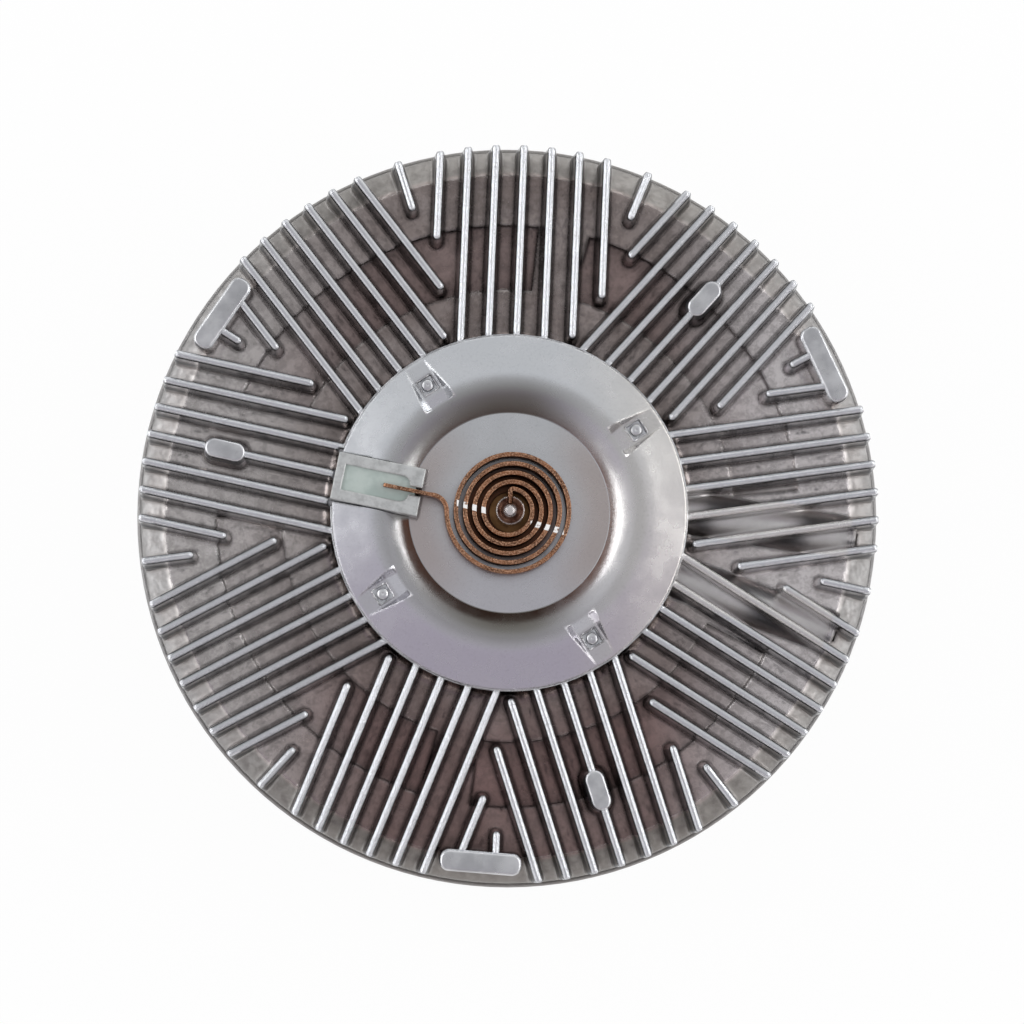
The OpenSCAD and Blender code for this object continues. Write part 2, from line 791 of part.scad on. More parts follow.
module front_cover() {
    color("#a9a49f")
        difference() {
            union() {
                difference() {
                    rotate_extrude()
                        cover_profile();
                    for (span = recess_spans)
                        ring_span(recess_in_r, recess_out_r, floor_z - recess_d, floor_z + cut,
                            span[0], span[1]);
                }
                all_fins();
                on_passages()
                    passage_rib();
                counter_lands(web_top_z + land_gap, cover_z);
                around(stake_count, stake_first)
                    translate([stake_r, 0, hub_z - cut])
                        cylinder(r = stake_pin_r, h = stake_h + cut);
            }
            on_passages()
                passage_bore();
            rotate([0, 0, anchor_angle])
                channel(hub_open_r - cut, hub_r + block_fit, block_w + 2 * block_fit + 2 * sheet, 0,
                    seat_flat_z - sheet);
            around(rivet_count)
                translate([rivet_pcr, 0, pump_top_z - cut])
                    cylinder(r = rivet_r, h = rivet_l + cut);
        }
}

module reservoir_plate() {
    color("#c3c5cb")
        difference() {
            plate_form(0, 0);
            plate_form(sheet, slope_over);
            around(stake_count, stake_first)
                translate([stake_r - window_l / 2, -window_w / 2, hub_z - cut])
                    cube([window_l, window_w, sheet + 2 * cut]);
            translate([0, 0, flat_z - sheet - cut])
                cylinder(r = bush_r, h = sheet + 2 * cut);
        }
}

module coil_anchor() {
    color("#b4b5b3")
        rotate([0, 0, anchor_angle])
            difference() {
                translate([block_in_r, -block_w / 2, seat_flat_z])
                    cube([block_out_r - block_in_r, block_w, block_h]);
                translate([0, 0, block_z - potting_d])
                    linear_extrude(potting_d + cut)
                        pocket_outline();
                tail_straight();
            }
}

module anchor_potting() {
    color("#a0afaa")
        rotate([0, 0, anchor_angle])
            difference() {
                translate([0, 0, block_z - potting_d])
                    linear_extrude(potting_d - potting_drop)
                        intersection() {
                            pocket_outline();
                            translate([block_in_r + neck_l / 2, -potting_w])
                                square([block_out_r, 2 * potting_w]);
                        }
                tail_straight();
            }
}

module bimetal_coil() {
    color("#8a5a3c") {
        for (i = [0 : coil_half_turns - 1])
            translate([i % 2 == 0 ? -coil_shift : coil_shift, 0, 0])
                strip_arc(coil_out_r - i * coil_pitch / 2, i % 2 == 0 ? 180 : 0, 180);
        strip_arc(coil_in_r, 0, 90);
        translate([-strip_t / 2, pip_r + pip_groove_w / 2, coil_z])
            cube([strip_t, coil_in_r - pip_r - pip_groove_w / 2, strip_h]);
        translate([-coil_start - tail_bend_r, 0, 0])
            strip_arc(tail_bend_r, 0, tail_turn);
        rotate([0, 0, anchor_angle])
            tail_straight();
    }
}

module valve_shaft() {
    head_z = flat_z + valve_play;
    top_z = coil_top_z + valve_head_over;
    slot_in = pip_r + pip_groove_w / 2 - tab_fit;
    clip_z = flat_z - sheet - bush_l - valve_play - valve_clip_t;
    arm_z = pump_top_z + arm_fit;
    color("#8f8f90")
        difference() {
            rotate_extrude()
                polygon([
                    [0, arm_z], [valve_r - arm_step, arm_z], [valve_r - arm_step, arm_z + arm_t],
                    [valve_r, arm_z + arm_t], [valve_r, clip_z], [valve_r - valve_clip_groove, clip_z],
                    [valve_r - valve_clip_groove, clip_z + valve_clip_t], [valve_r, clip_z + valve_clip_t],
                    [valve_r, head_z], [valve_head_r, head_z], [valve_head_r, top_z - valve_chamfer],
                    [valve_head_r - valve_chamfer, top_z], [pip_r + pip_groove_w, top_z],
                    [pip_r + pip_groove_w, top_z - pip_groove_d], [pip_r, top_z - pip_groove_d],
                    [pip_r, top_z - valve_chamfer], [pip_r - valve_chamfer, top_z], [0, top_z]
                ]);
            translate([-strip_t / 2 - tab_fit, slot_in, coil_z - tab_fit])
                cube([strip_t + 2 * tab_fit, valve_head_r, strip_h + valve_head_over + cut]);
        }
}

module valve_bush() {
    low_z = flat_z - sheet - bush_l;
    under_z = flat_z - sheet;
    ring_z = low_z + bush_l / 2;
    color("#b9a06a")
        rotate_extrude()
            polygon([
                [valve_r + valve_fit, low_z], [bush_r, low_z], [bush_r, under_z - bush_flange_t],
                [bush_flange_r, under_z - bush_flange_t], [bush_flange_r, under_z], [bush_r, under_z],
                [bush_r, flat_z], [valve_r + valve_fit, flat_z],
                [valve_r + valve_fit, ring_z + valve_seal_t / 2],
                [valve_r + valve_fit + valve_seal_t, ring_z + valve_seal_t / 2],
                [valve_r + valve_fit + valve_seal_t, ring_z - valve_seal_t / 2],
                [valve_r + valve_fit, ring_z - valve_seal_t / 2]
            ]);
}

module valve_oring() {
    ring_z = flat_z - sheet - bush_l / 2;
    color("#232323")
        rotate_extrude()
            translate([valve_r + valve_fit + valve_seal_t / 2, ring_z])
                circle(valve_seal_t / 2);
}

module valve_clip() {
    top_z = flat_z - sheet - bush_l - valve_play;
    color("#5d5d60")
        ring_span(valve_r - valve_clip_groove, valve_clip_r, top_z - valve_clip_t, top_z,
            valve_clip_gap / 2, 360 - valve_clip_gap / 2);
}

module valve_arm() {
    color("#a7a39a")
        translate([0, 0, pump_top_z + arm_fit])
            rotate([0, 0, port_angle])
                linear_extrude(arm_t)
                    difference() {
                        union() {
                            square([2 * port_pcr, arm_w], center = true);
                            circle(arm_hub_r);
                            for (side = [-1, 1])
                                translate([side * port_pcr, 0])
                                    circle(arm_pad_r);
                        }
                        circle(valve_r - arm_step);
                    }
}

module pump_plate() {
    color("#b5b5b2")
        difference() {
            translate([0, 0, cover_z])
                cylinder(r = pump_r, h = pump_t);
            around(port_count, port_angle)
                translate([port_pcr, 0, cover_z - cut])
                    cylinder(r = port_r, h = pump_t + 2 * cut);
            around(rivet_count)
                translate([rivet_pcr, 0, cover_z - cut])
                    cylinder(r = rivet_r, h = pump_t + 2 * cut);
        }
}

module pump_plate_rivets() {
    color("#8d8d8a")
        around(rivet_count)
            translate([rivet_pcr, 0, 0])
                rotate_extrude()
                    polygon([[0, cover_z - rivet_head_h], [rivet_flat_r, cover_z - rivet_head_h],
                        [rivet_head_r, cover_z - rivet_edge_h], [rivet_head_r, cover_z], [rivet_r, cover_z],
                        [rivet_r, pump_top_z + rivet_l], [0, pump_top_z + rivet_l]]);
}

module wiper_blocks() {
    span = wiper_l / chamber_r * 180 / PI;
    color("#3a3a3a")
        for (i = [0 : len(passage_angles) - 1]) {
            mouth = passage_angles[i] + asin(passage_offsets[i] / return_r);
            side = i == 0 ? -1 : 1;
            from = mouth + side * wiper_lead - (side < 0 ? span : 0);
            ring_span(chamber_r - wiper_w, chamber_r, cover_z - wiper_h, cover_z, from, from + span);
        }
}

module passage_plugs() {
    color("#7d7d7d")
        on_passages()
            translate([passage_end_r - plug_l, 0, 0])
                rotate([0, 90, 0])
                    cylinder(r = passage_r, h = plug_l);
}

module cover_seal() {
    c = seal_chamfer;
    top_z = seal_z + cover_seal_t;
    color("#1d1d1d")
        rotate_extrude()
            polygon([
                [seal_in_r + c, seal_z], [flange_r - c, seal_z],
                [flange_r, seal_z + c], [flange_r, top_z - c],
                [flange_r - c, top_z], [seal_in_r + c, top_z],
                [seal_in_r, top_z - c], [seal_in_r, seal_z + c]
            ]);
}

// Half section of the rear body without ribs and bosses
module body_profile() {
    wall_z = rear_z + rear_chamfer;
    polygon([
        [brg_out_r, brg_z], [brg_out_r - shoulder_w, brg_z], [brg_out_r - shoulder_w, brg_z - shoulder_t],
        [brg_boss_r - boss_chamfer, brg_z - shoulder_t], [brg_boss_r, brg_z - shoulder_t + boss_chamfer],
        [brg_boss_r, rear_z - pilot_h], [pilot_r - boss_chamfer, rear_z - pilot_h],
        [pilot_r, rear_z - pilot_h + boss_chamfer], [pilot_r, rear_z],
        [rim_r - rear_chamfer, rear_z], [rim_r, wall_z], [rim_r, flange_z + lip_h - lip_t / 2],
        [rim_r - lip_t / 2, flange_z + lip_h], [flange_r - lip_over, flange_z + lip_h],
        [flange_r - lip_over, flange_z], [flange_r, flange_z], [flange_r, seat_z], [chamber_r, seat_z],
        [chamber_r, chamber_z], [brg_out_r, chamber_z], [brg_out_r, brg_top_z + brg_clip_t],
        [brg_out_r + brg_clip_groove, brg_top_z + brg_clip_t], [brg_out_r + brg_clip_groove, brg_top_z],
        [brg_out_r, brg_top_z]
    ]);
}

// Radial cooling rib on the rear wall
module rear_rib() {
    out_r = rim_r - rear_chamfer;
    low_z = rear_z - rear_rib_h;
    c = rear_rib_chamfer;
    rotate([90, 0, 0])
        linear_extrude(rear_rib_t, center = true)
            polygon([[rear_rib_in_r, rear_z + cut], [rear_rib_in_r, low_z + c], [rear_rib_in_r + c, low_z],
                [out_r - c, low_z], [out_r, low_z + c], [out_r, rear_z + cut]]);
}

module rear_body() {
    color("#98948f")
        difference() {
            union() {
                rotate_extrude()
                    body_profile();
                counter_lands(chamber_z, web_z - land_gap);
                around(rear_rib_count)
                    rear_rib();
                around(fan_count, fan_first)
                    translate([fan_pcr, 0, rear_z - fan_boss_h])
                        cylinder(r = fan_boss_r, h = fan_boss_h + cut);
            }
            around(fan_count, fan_first)
                translate([fan_pcr, 0, rear_z - fan_boss_h - cut])
                    cylinder(r = fan_hole_r, h = fan_hole_l + cut);
        }
}

// Torus that the balls run on, with the running clearance
module ball_track() {
    rotate_extrude()
        translate([ball_pcr, brg_z + brg_w / 2])
            circle(ball_r + brg_play);
}

module bearing_outer_ring() {
    color("#c9cbcd")
        difference() {
            ring(brg_out_r - brg_outer_t, brg_out_r, brg_z, brg_top_z);
            ball_track();
        }
}

module bearing_inner_ring() {
    color("#c9cbcd")
        difference() {
            ring(brg_bore_r, brg_bore_r + brg_inner_t, brg_z, brg_top_z);
            ball_track();
        }
}

module bearing_balls() {
    color("#dcdee0")
        around(ball_count)
            translate([ball_pcr, 0, brg_z + brg_w / 2])
                sphere(ball_r);
}

module bearing_cage() {
    color("#b08d4a")
        difference() {
            ring(ball_pcr - cage_t / 2, ball_pcr + cage_t / 2, brg_z + (brg_w - cage_w) / 2,
                brg_z + (brg_w + cage_w) / 2);
            around(ball_count)
                translate([ball_pcr, 0, brg_z + brg_w / 2])
                    sphere(ball_r + brg_play);
        }
}

// Shield between the rings of the bearing
module bearing_seal(z_low) {
    ring(brg_bore_r + brg_inner_t + seal_fit, brg_out_r - brg_outer_t, z_low, z_low + brg_seal_t);
}

module bearing_front_seal() {
    color("#2a2a2c")
        bearing_seal(brg_top_z - brg_seal_in - brg_seal_t);
}

module bearing_rear_seal() {
    color("#2a2a2c")
        bearing_seal(brg_z + brg_seal_in);
}

module bearing_circlip() {
    groove_r = brg_out_r + brg_clip_groove;
    color("#5a5a5c")
        ring_span(groove_r - brg_clip_w, groove_r, brg_top_z, brg_top_z + brg_clip_t,
            brg_clip_gap / 2, 360 - brg_clip_gap / 2);
}

module drive_shaft() {
    corner_r = hex_af / 2 / cos(30);
    clip_z = brg_top_z + rotor_hub_l;
    end_z = clip_z + shaft_over;
    color("#8b8d8f")
        difference() {
            union() {
                intersection() {
                    cylinder(r = corner_r, h = hex_h, $fn = 6);
                    rotate_extrude()
                        polygon([[0, 0], [corner_r - hex_chamfer, 0], [corner_r, hex_chamfer_h],
                            [corner_r, hex_h - hex_chamfer_h], [corner_r - hex_chamfer, hex_h], [0, hex_h]]);
                }
                rotate_extrude()
                    polygon([
                        [0, hex_h - cut], [neck_r, hex_h - cut], [neck_r, brg_z], [brg_bore_r, brg_z],
                        [brg_bore_r, clip_z], [brg_bore_r - rotor_clip_groove, clip_z],
                        [brg_bore_r - rotor_clip_groove, clip_z + rotor_clip_t],
                        [brg_bore_r, clip_z + rotor_clip_t],
                        [brg_bore_r, end_z - shaft_chamfer], [brg_bore_r - shaft_chamfer, end_z], [0, end_z]
                    ]);
            }
            translate([0, 0, -cut])
                cylinder(r = thread_r, h = thread_l + cut);
            rotate_extrude()
                polygon([[0, -cut], [thread_r + thread_chamfer + cut, -cut], [thread_r, thread_chamfer],
                    [0, thread_chamfer]]);
        }
}

module rotor() {
    color("#9fa1a3")
        difference() {
            union() {
                ring(brg_bore_r, rotor_hub_r, brg_top_z, brg_top_z + rotor_hub_l);
                ring(rotor_hub_r, rotor_r, web_z, web_top_z);
                for (i = [0 : land_count - 1])
                    ring(land_first_r + i * land_pitch - land_t / 2,
                        land_first_r + i * land_pitch + land_t / 2, web_z - land_h, web_top_z + land_h);
            }
            around(web_holes)
                translate([web_hole_pcr, 0, web_z - cut])
                    cylinder(r = web_hole_r, h = web_t + 2 * cut);
        }
}

module rotor_circlip() {
    clip_z = brg_top_z + rotor_hub_l;
    color("#5a5a5c")
        ring_span(brg_bore_r - rotor_clip_groove, rotor_clip_r, clip_z, clip_z + rotor_clip_t,
            rotor_clip_gap / 2, 360 - rotor_clip_gap / 2);
}

front_cover();
reservoir_plate();
coil_anchor();
anchor_potting();
bimetal_coil();
valve_shaft();
valve_bush();
valve_oring();
valve_clip();
valve_arm();
pump_plate();
pump_plate_rivets();
wiper_blocks();
passage_plugs();
cover_seal();
rear_body();
bearing_outer_ring();
bearing_inner_ring();
bearing_balls();
bearing_cage();
bearing_front_seal();
bearing_rear_seal();
bearing_circlip();
drive_shaft();
rotor();
rotor_circlip();
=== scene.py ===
import json
import math
import random

import bmesh
import bpy
import numpy as np
from mathutils import Matrix, Vector


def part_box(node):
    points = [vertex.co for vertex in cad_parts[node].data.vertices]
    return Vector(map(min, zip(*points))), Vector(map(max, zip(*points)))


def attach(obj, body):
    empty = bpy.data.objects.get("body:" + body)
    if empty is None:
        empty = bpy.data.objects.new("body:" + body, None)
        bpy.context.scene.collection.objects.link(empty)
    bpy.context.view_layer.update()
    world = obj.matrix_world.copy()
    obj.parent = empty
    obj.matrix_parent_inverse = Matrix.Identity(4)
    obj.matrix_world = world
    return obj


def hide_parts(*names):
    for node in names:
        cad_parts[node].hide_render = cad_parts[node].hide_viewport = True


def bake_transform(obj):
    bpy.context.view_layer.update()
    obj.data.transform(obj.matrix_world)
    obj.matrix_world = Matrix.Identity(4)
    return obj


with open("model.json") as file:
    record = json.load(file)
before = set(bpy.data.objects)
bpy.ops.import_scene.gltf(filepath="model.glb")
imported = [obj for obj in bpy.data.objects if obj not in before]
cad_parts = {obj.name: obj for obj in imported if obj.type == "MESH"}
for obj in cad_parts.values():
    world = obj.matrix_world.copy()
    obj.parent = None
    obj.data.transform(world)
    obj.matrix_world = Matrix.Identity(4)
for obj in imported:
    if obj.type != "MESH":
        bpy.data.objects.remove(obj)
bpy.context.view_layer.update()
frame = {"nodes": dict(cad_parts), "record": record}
nodes = frame["nodes"]

# Sizes read from the frame, in metres
MM = 0.001
AXIS = Vector((0, 0, 1))
COVER_LOW, COVER_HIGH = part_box("front_cover")
PLATE_LOW, PLATE_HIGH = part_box("reservoir_plate")
COIL_LOW, COIL_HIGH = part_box("bimetal_coil")
FIN_TOP = COVER_HIGH.z - 2.2 * MM
FLOOR_Z = FIN_TOP - 12.5 * MM
RIM_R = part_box("rear_body")[1].x

# Direction of the first stake
STAKE_FIRST = math.radians(33)

# Direction and offset of the two return-passage ribs
RIBS = ((math.radians(340), 0.0), (math.radians(351), 8.4 * MM))

# Ribs: half width, width of their soft border and reach from the axis
RIB_HALF = 5.5 * MM
RIB_FADE = 1.5 * MM
RIB_IN_R = 46 * MM
RIB_OUT_R = 92 * MM

# Cover: foot of the slope at the rim, and the smooth band outside it
RIM_FOOT_R = 94 * MM
RIM_BAND_R = 101 * MM

# Plate: edge of the flat, outer foot of the crest, stake pockets, and the slopes on both sides of the crest
FLAT_R = 27.5 * MM
CREST_FOOT_R = 41 * MM
POCKET_HALF = 4.7 * MM
POCKET_IN_R = 35.6 * MM
PLATE_REACH = 60 * MM
WALL_SLOPE = 0.55
OUTER_SLOPE = -0.33

# Camera of the photograph: nearly straight above, a little to the left and below
CAMERA_DISTANCE = 1.2
CAMERA_TILT_X = math.radians(1.6)
CAMERA_TILT_Y = math.radians(3.7)
PIXELS = 1024
RIM_PIXELS = 369
RIM_CENTRE_PX = (507.5, 517)
RIM_PLANE_Z = 57 * MM
SENSOR_MM = 36

# Rays of each edge and corner node
SHADER_SAMPLES = 4


# Node graphs

class Graph:
    """Short-hand for building the nodes of one material or world."""

    def __init__(self, owner, output="ShaderNodeOutputMaterial"):
        self.owner = owner
        self.owner.use_nodes = True
        self.tree = self.owner.node_tree
        self.tree.nodes.clear()
        self.output = self.add(output)

    def add(self, kind, **inputs):
        node = self.tree.nodes.new(kind)
        self.set(node, **inputs)
        return node

    def set(self, node, **inputs):
        for key, value in inputs.items():
            socket = node.inputs[key.replace("_", " ")]
            if isinstance(value, bpy.types.NodeSocket):
                self.tree.links.new(value, socket)
            else:
                socket.default_value = value

    def position(self):
        return self.add("ShaderNodeTexCoord").outputs["Object"]

    def noise(self, vector, scale, detail=3.0, roughness=0.55, distortion=0.0):
        node = self.add("ShaderNodeTexNoise", Vector=vector, Scale=scale, Detail=detail,
                        Roughness=roughness, Distortion=distortion)
        return node.outputs["Fac"]

    def span(self, value, low, high, to_low=0.0, to_high=1.0):
        node = self.add("ShaderNodeMapRange")
        node.interpolation_type = "SMOOTHSTEP"
        self.tree.links.new(value, node.inputs["Value"])
        for key, number in (("From Min", low), ("From Max", high), ("To Min", to_low), ("To Max", to_high)):
            node.inputs[key].default_value = number
        return node.outputs["Result"]

    def math(self, operation, a, b=0.0):
        node = self.add("ShaderNodeMath")
        node.operation = operation
        for socket, value in zip(node.inputs, (a, b)):
            if isinstance(value, bpy.types.NodeSocket):
                self.tree.links.new(value, socket)
            else:
                socket.default_value = value
        return node.outputs["Value"]

    def times(self, a, b):
        return self.math("MULTIPLY", a, b)

    def mix(self, factor, a, b):
        node = self.add("ShaderNodeMix")
        node.data_type = "RGBA"
        pairs = ((node.inputs["Factor"], factor), (node.inputs[6], a), (node.inputs[7], b))
        for socket, value in pairs:
            if isinstance(value, bpy.types.NodeSocket):
                self.tree.links.new(value, socket)
            else:
                socket.default_value = value
        return node.outputs[2]

    def bump(self, height, distance, strength=1.0, normal=None):
        node = self.add("ShaderNodeBump", Height=height, Distance=distance, Strength=strength)
        if normal is not None:
            self.tree.links.new(normal, node.inputs["Normal"])
        return node.outputs["Normal"]

    def soft_edges(self, radius):
        node = self.add("ShaderNodeBevel", Radius=radius)
        node.samples = SHADER_SAMPLES
        return node.outputs["Normal"]

    def dish(self, split, radius, tilt):
        """Normal of a wall that rises outwards, with the given slope."""
        scale = self.times(tilt, -1.0)
        x = self.times(self.math("DIVIDE", split.outputs["X"], radius), scale)
        y = self.times(self.math("DIVIDE", split.outputs["Y"], radius), scale)
        steep = self.add("ShaderNodeCombineXYZ", X=x, Y=y, Z=1.0).outputs["Vector"]
        unit = self.add("ShaderNodeVectorMath", Vector=steep)
        unit.operation = "NORMALIZE"
        return unit.outputs["Vector"]

    def vector_mix(self, factor, a, b):
        node = self.add("ShaderNodeMix")
        node.data_type = "VECTOR"
        for socket, value in ((node.inputs["Factor"], factor), (node.inputs[4], a), (node.inputs[5], b)):
            self.tree.links.new(value, socket)
        return node.outputs[1]

    def beside_line(self, split, angle, offset, near, far, start, end):
        """One beside a stretch of a line in the XY plane, falling to nought away from it."""
        across_x = self.times(split.outputs["X"], -math.sin(angle))
        across = self.math("ADD", across_x, self.times(split.outputs["Y"], math.cos(angle)))
        along_x = self.times(split.outputs["X"], math.cos(angle))
        along = self.math("ADD", along_x, self.times(split.outputs["Y"], math.sin(angle)))
        distance = self.math("ABSOLUTE", self.math("SUBTRACT", across, offset))
        begun = self.span(along, start - 2 * MM, start)
        stretch = self.times(begun, self.span(along, end + 2 * MM, end))
        return self.times(self.span(distance, far, near), stretch)

    def radius(self, split):
        """Distance from the clutch's axis."""
        flat = self.add("ShaderNodeCombineXYZ", X=split.outputs["X"], Y=split.outputs["Y"]).outputs["Vector"]
        length = self.add("ShaderNodeVectorMath", Vector=flat)
        length.operation = "LENGTH"
        return length.outputs["Value"]

    def facing(self):
        """World normal of the surface itself."""
        return self.add("ShaderNodeNewGeometry").outputs["Normal"]

    def sideways(self, split, radius):
        """One on upright faces along the fins, nought on level faces and on those that face outwards."""
        face = self.add("ShaderNodeSeparateXYZ", Vector=self.facing())
        out_x = self.times(face.outputs["X"], self.math("DIVIDE", split.outputs["X"], radius))
        out_y = self.times(face.outputs["Y"], self.math("DIVIDE", split.outputs["Y"], radius))
        outward = self.math("ABSOLUTE", self.math("ADD", out_x, out_y))
        return self.times(self.span(face.outputs["Z"], 0.8, 0.35), self.span(outward, 0.75, 0.5))

    def edge_line(self, soft):
        """One on edges, where the softened normal leaves the surface's own."""
        node = self.add("ShaderNodeVectorMath")
        node.operation = "DOT_PRODUCT"
        self.tree.links.new(soft, node.inputs[0])
        self.tree.links.new(self.facing(), node.inputs[1])
        return self.span(node.outputs["Value"], 0.96, 0.85)

    def crevice(self, distance):
        node = self.add("ShaderNodeAmbientOcclusion", Distance=distance)
        node.samples = SHADER_SAMPLES
        node.only_local = True
        return node.outputs["AO"]

    def surface(self, **inputs):
        shader = self.add("ShaderNodeBsdfPrincipled", **inputs)
        self.tree.links.new(shader.outputs["BSDF"], self.output.inputs["Surface"])
        return self.owner


def material_graph(name):
    return Graph(bpy.data.materials.new(name))


def srgb(r, g, b):
    """Linear colour of an 8-bit screen colour."""
    def linear(c):
        c /= 255
        return c / 12.92 if c <= 0.04045 else ((c + 0.055) / 1.055) ** 2.4
    return (linear(r), linear(g), linear(b), 1.0)


# Colours of the casting, among them painted shade, painted reflections and painted highlights
FLOOR_DARK = srgb(158, 145, 141)
FLOOR_PALE = srgb(190, 179, 176)
# Darker, redder tone of the floor in the recess
RECESS_DARKER = srgb(152, 130, 127)
# Painted reddish reflection on the floor towards -Y
LOW_REFLECTION = srgb(150, 118, 115)
# Painted sheen: the floor is paler and more silver at both sides
RIGHT_SHEEN = srgb(248, 243, 243)
LEFT_SHEEN = srgb(238, 235, 233)
# Rim tone by side: a touch darker and warmer towards +Y and -Y than at the sides, a slight painted shade
RIM_GREY = srgb(148, 145, 142)
RIM_SIDE_GREY = srgb(150, 149, 149)
# Painted highlight along the edges of low features
EDGE_HIGHLIGHT = srgb(232, 230, 228)
# Fins: partly the smoother metal's own paler tone, partly painted highlight
FIN_TONE_AND_SHEEN = srgb(218, 220, 224)
# Painted shade on the fins' upright flanks
FLANK_SHADE = srgb(94, 95, 99)
# Ribs: partly the smoother casting's own tone, partly painted sheen
RIB_TONE_AND_SHEEN = srgb(222, 220, 219)
DULL_SPOT = srgb(84, 77, 74)
# Painted shade in corners and crevices, lighter at both sides
CORNER_SHADE = srgb(62, 55, 53)
SIDE_CORNER_SHADE = srgb(196, 189, 187)

# Colours of the plate, among them painted reflections and painted shade
ZINC_COOL = srgb(214, 216, 219)
# Painted violet reflection on the plate below
VIOLET_REFLECTION = srgb(204, 202, 209)
# Painted warm reflection on the plate to the right
WARM_REFLECTION = srgb(220, 216, 211)
# Painted shade on the dish wall
WALL_SHADE = srgb(122, 119, 112)
# Painted brownish reflection at both sides of the flat
FLAT_SIDE_REFLECTION = srgb(186, 168, 161)
# Painted brown shade on the plate under the coil
COIL_SHADE_BROWN = srgb(84, 56, 42)
ZINC_SPECK = srgb(120, 118, 122)

# Colours of the coil, with a painted shade for the strip's sides
STRIP_DARK = srgb(86, 54, 36)
STRIP_BROWN = srgb(132, 86, 58)
STRIP_PALE = srgb(206, 164, 134)
# Painted shade on the strip's sides between the turns
STRIP_SIDE_SHADE = srgb(98, 60, 40)
PAINT_WHITE = srgb(240, 240, 238)


# Materials

def cast_aluminium():
    """Die-cast aluminium: brownish floor, darker and redder in the recess, with a painted reddish reflection
    below and a painted sheen at both sides; smooth bright fins, partly painted highlight, with painted shade
    on their flanks; painted highlights on low edges and painted shade in the corners.
    """
    g = material_graph("cast_aluminium")
    at = g.position()
    split = g.add("ShaderNodeSeparateXYZ", Vector=at)
    height = g.span(split.outputs["Z"], FLOOR_Z + 3 * MM, FIN_TOP - 1.5 * MM)
    radius = g.radius(split)
    patches = g.span(g.noise(at, 30, 4, 0.6), 0.35, 0.65)
    warm = g.mix(patches, FLOOR_DARK, FLOOR_PALE)
    front = g.span(split.outputs["Z"], FLOOR_Z - 6 * MM, FLOOR_Z - 4.5 * MM)
    recess = g.times(front, g.span(split.outputs["Z"], FLOOR_Z - 0.4 * MM, FLOOR_Z - 1.6 * MM))
    # The floor is darker and redder in the recess
    recess_darkened = g.mix(g.times(recess, 0.75), warm, RECESS_DARKER)
    # Painted reflection: the floor turns reddish towards -Y
    low_side = g.times(front, g.span(split.outputs["Y"], -20 * MM, -75 * MM))
    reddish = g.mix(g.times(low_side, 0.65), recess_darkened, LOW_REFLECTION)
    # Painted sheen: the floor turns pale and silver towards +X and -X
    right_side = g.span(split.outputs["X"], 35 * MM, 80 * MM)
    sheen_right = g.mix(g.times(right_side, 0.9), reddish, RIGHT_SHEEN)
    left_side = g.span(split.outputs["X"], -35 * MM, -85 * MM)
    floor = g.mix(g.times(left_side, 0.75), sheen_right, LEFT_SHEEN)
    at_rim = g.span(radius, RIM_FOOT_R, RIM_FOOT_R + 2 * MM)
    eastward = g.math("ABSOLUTE", g.math("DIVIDE", split.outputs["X"], radius))
    # Slight painted shade: the rim is a touch darker and warmer towards +Y and -Y
    rim = g.mix(at_rim, floor, g.mix(g.span(eastward, 0.5, 0.95), RIM_GREY, RIM_SIDE_GREY))
    reach = (RIB_HALF, RIB_HALF + RIB_FADE, RIB_IN_R, RIB_OUT_R)
    ribs = g.math("MAXIMUM", *(g.beside_line(split, *rib, *reach) for rib in RIBS))
    smooth = g.math("MAXIMUM", ribs, height)
    soft = g.soft_edges(1.5 * MM)
    # Painted highlight: pale lines along the edges of the floor and its steps
    wear_and_highlight = g.times(g.edge_line(soft), g.span(height, 0.3, 0.0, 0.0, 0.6))
    edged = g.mix(wear_and_highlight, rim, EDGE_HIGHLIGHT)
    # Painted shade: dark flanks on the fins' upright sides, above the floor
    raised = g.span(split.outputs["Z"], FLOOR_Z + 0.8 * MM, FLOOR_Z + 2.5 * MM)
    flank = g.times(g.sideways(split, radius), raised)
    # Fins paler, partly painted highlight; painted shade on their flanks
    fins = g.mix(flank, g.mix(height, edged, FIN_TONE_AND_SHEEN), FLANK_SHADE)
    # Ribs paler and silver: partly painted sheen
    metal = g.mix(ribs, fins, RIB_TONE_AND_SHEEN)
    calm_band = g.span(radius, RIM_BAND_R - 2 * MM, RIM_BAND_R, 1.0, 0.35)
    mottle = g.times(g.span(smooth, 0.0, 1.0, 0.3, 0.06), calm_band)
    dull = g.mix(mottle, metal, DULL_SPOT)
    mottled = g.mix(g.span(g.noise(at, 330, 5, 0.7), 0.36, 0.6), dull, metal)
    # Painted shade: darker in corners and crevices from occlusion, mostly left off the ribs
    shade = g.math("MAXIMUM", g.span(g.crevice(5 * MM), 0.12, 0.62), g.times(ribs, 0.8))
    aside = g.math("MAXIMUM", right_side, left_side)
    # The painted corner shade is lighter at both sides
    corner = g.mix(aside, CORNER_SHADE, SIDE_CORNER_SHADE)
    colour = g.mix(shade, corner, mottled)
    grain = g.span(g.noise(at, 160, 4, 0.65), 0.3, 0.7, 0.0, 0.08)
    polish = g.span(height, 0.0, 1.0, 0.2, 0.08)
    low_rim = g.times(at_rim, g.math("SUBTRACT", 1.0, height))
    dullness = g.math("ADD", g.times(ribs, 0.12), g.times(low_rim, 0.15))
    rough = g.math("ADD", grain, g.math("ADD", polish, dullness))
    fine = g.bump(g.noise(at, 1300, 4, 0.65), 0.04 * MM, 0.35, soft)
    swell_depth = g.span(smooth, 0.0, 1.0, 0.8, 0.04)
    normal = g.bump(g.noise(at, 190, 2, 0.5), 0.7 * MM, swell_depth, fine)
    return g.surface(Base_Color=colour, Metallic=1.0, Roughness=rough, Normal=normal)


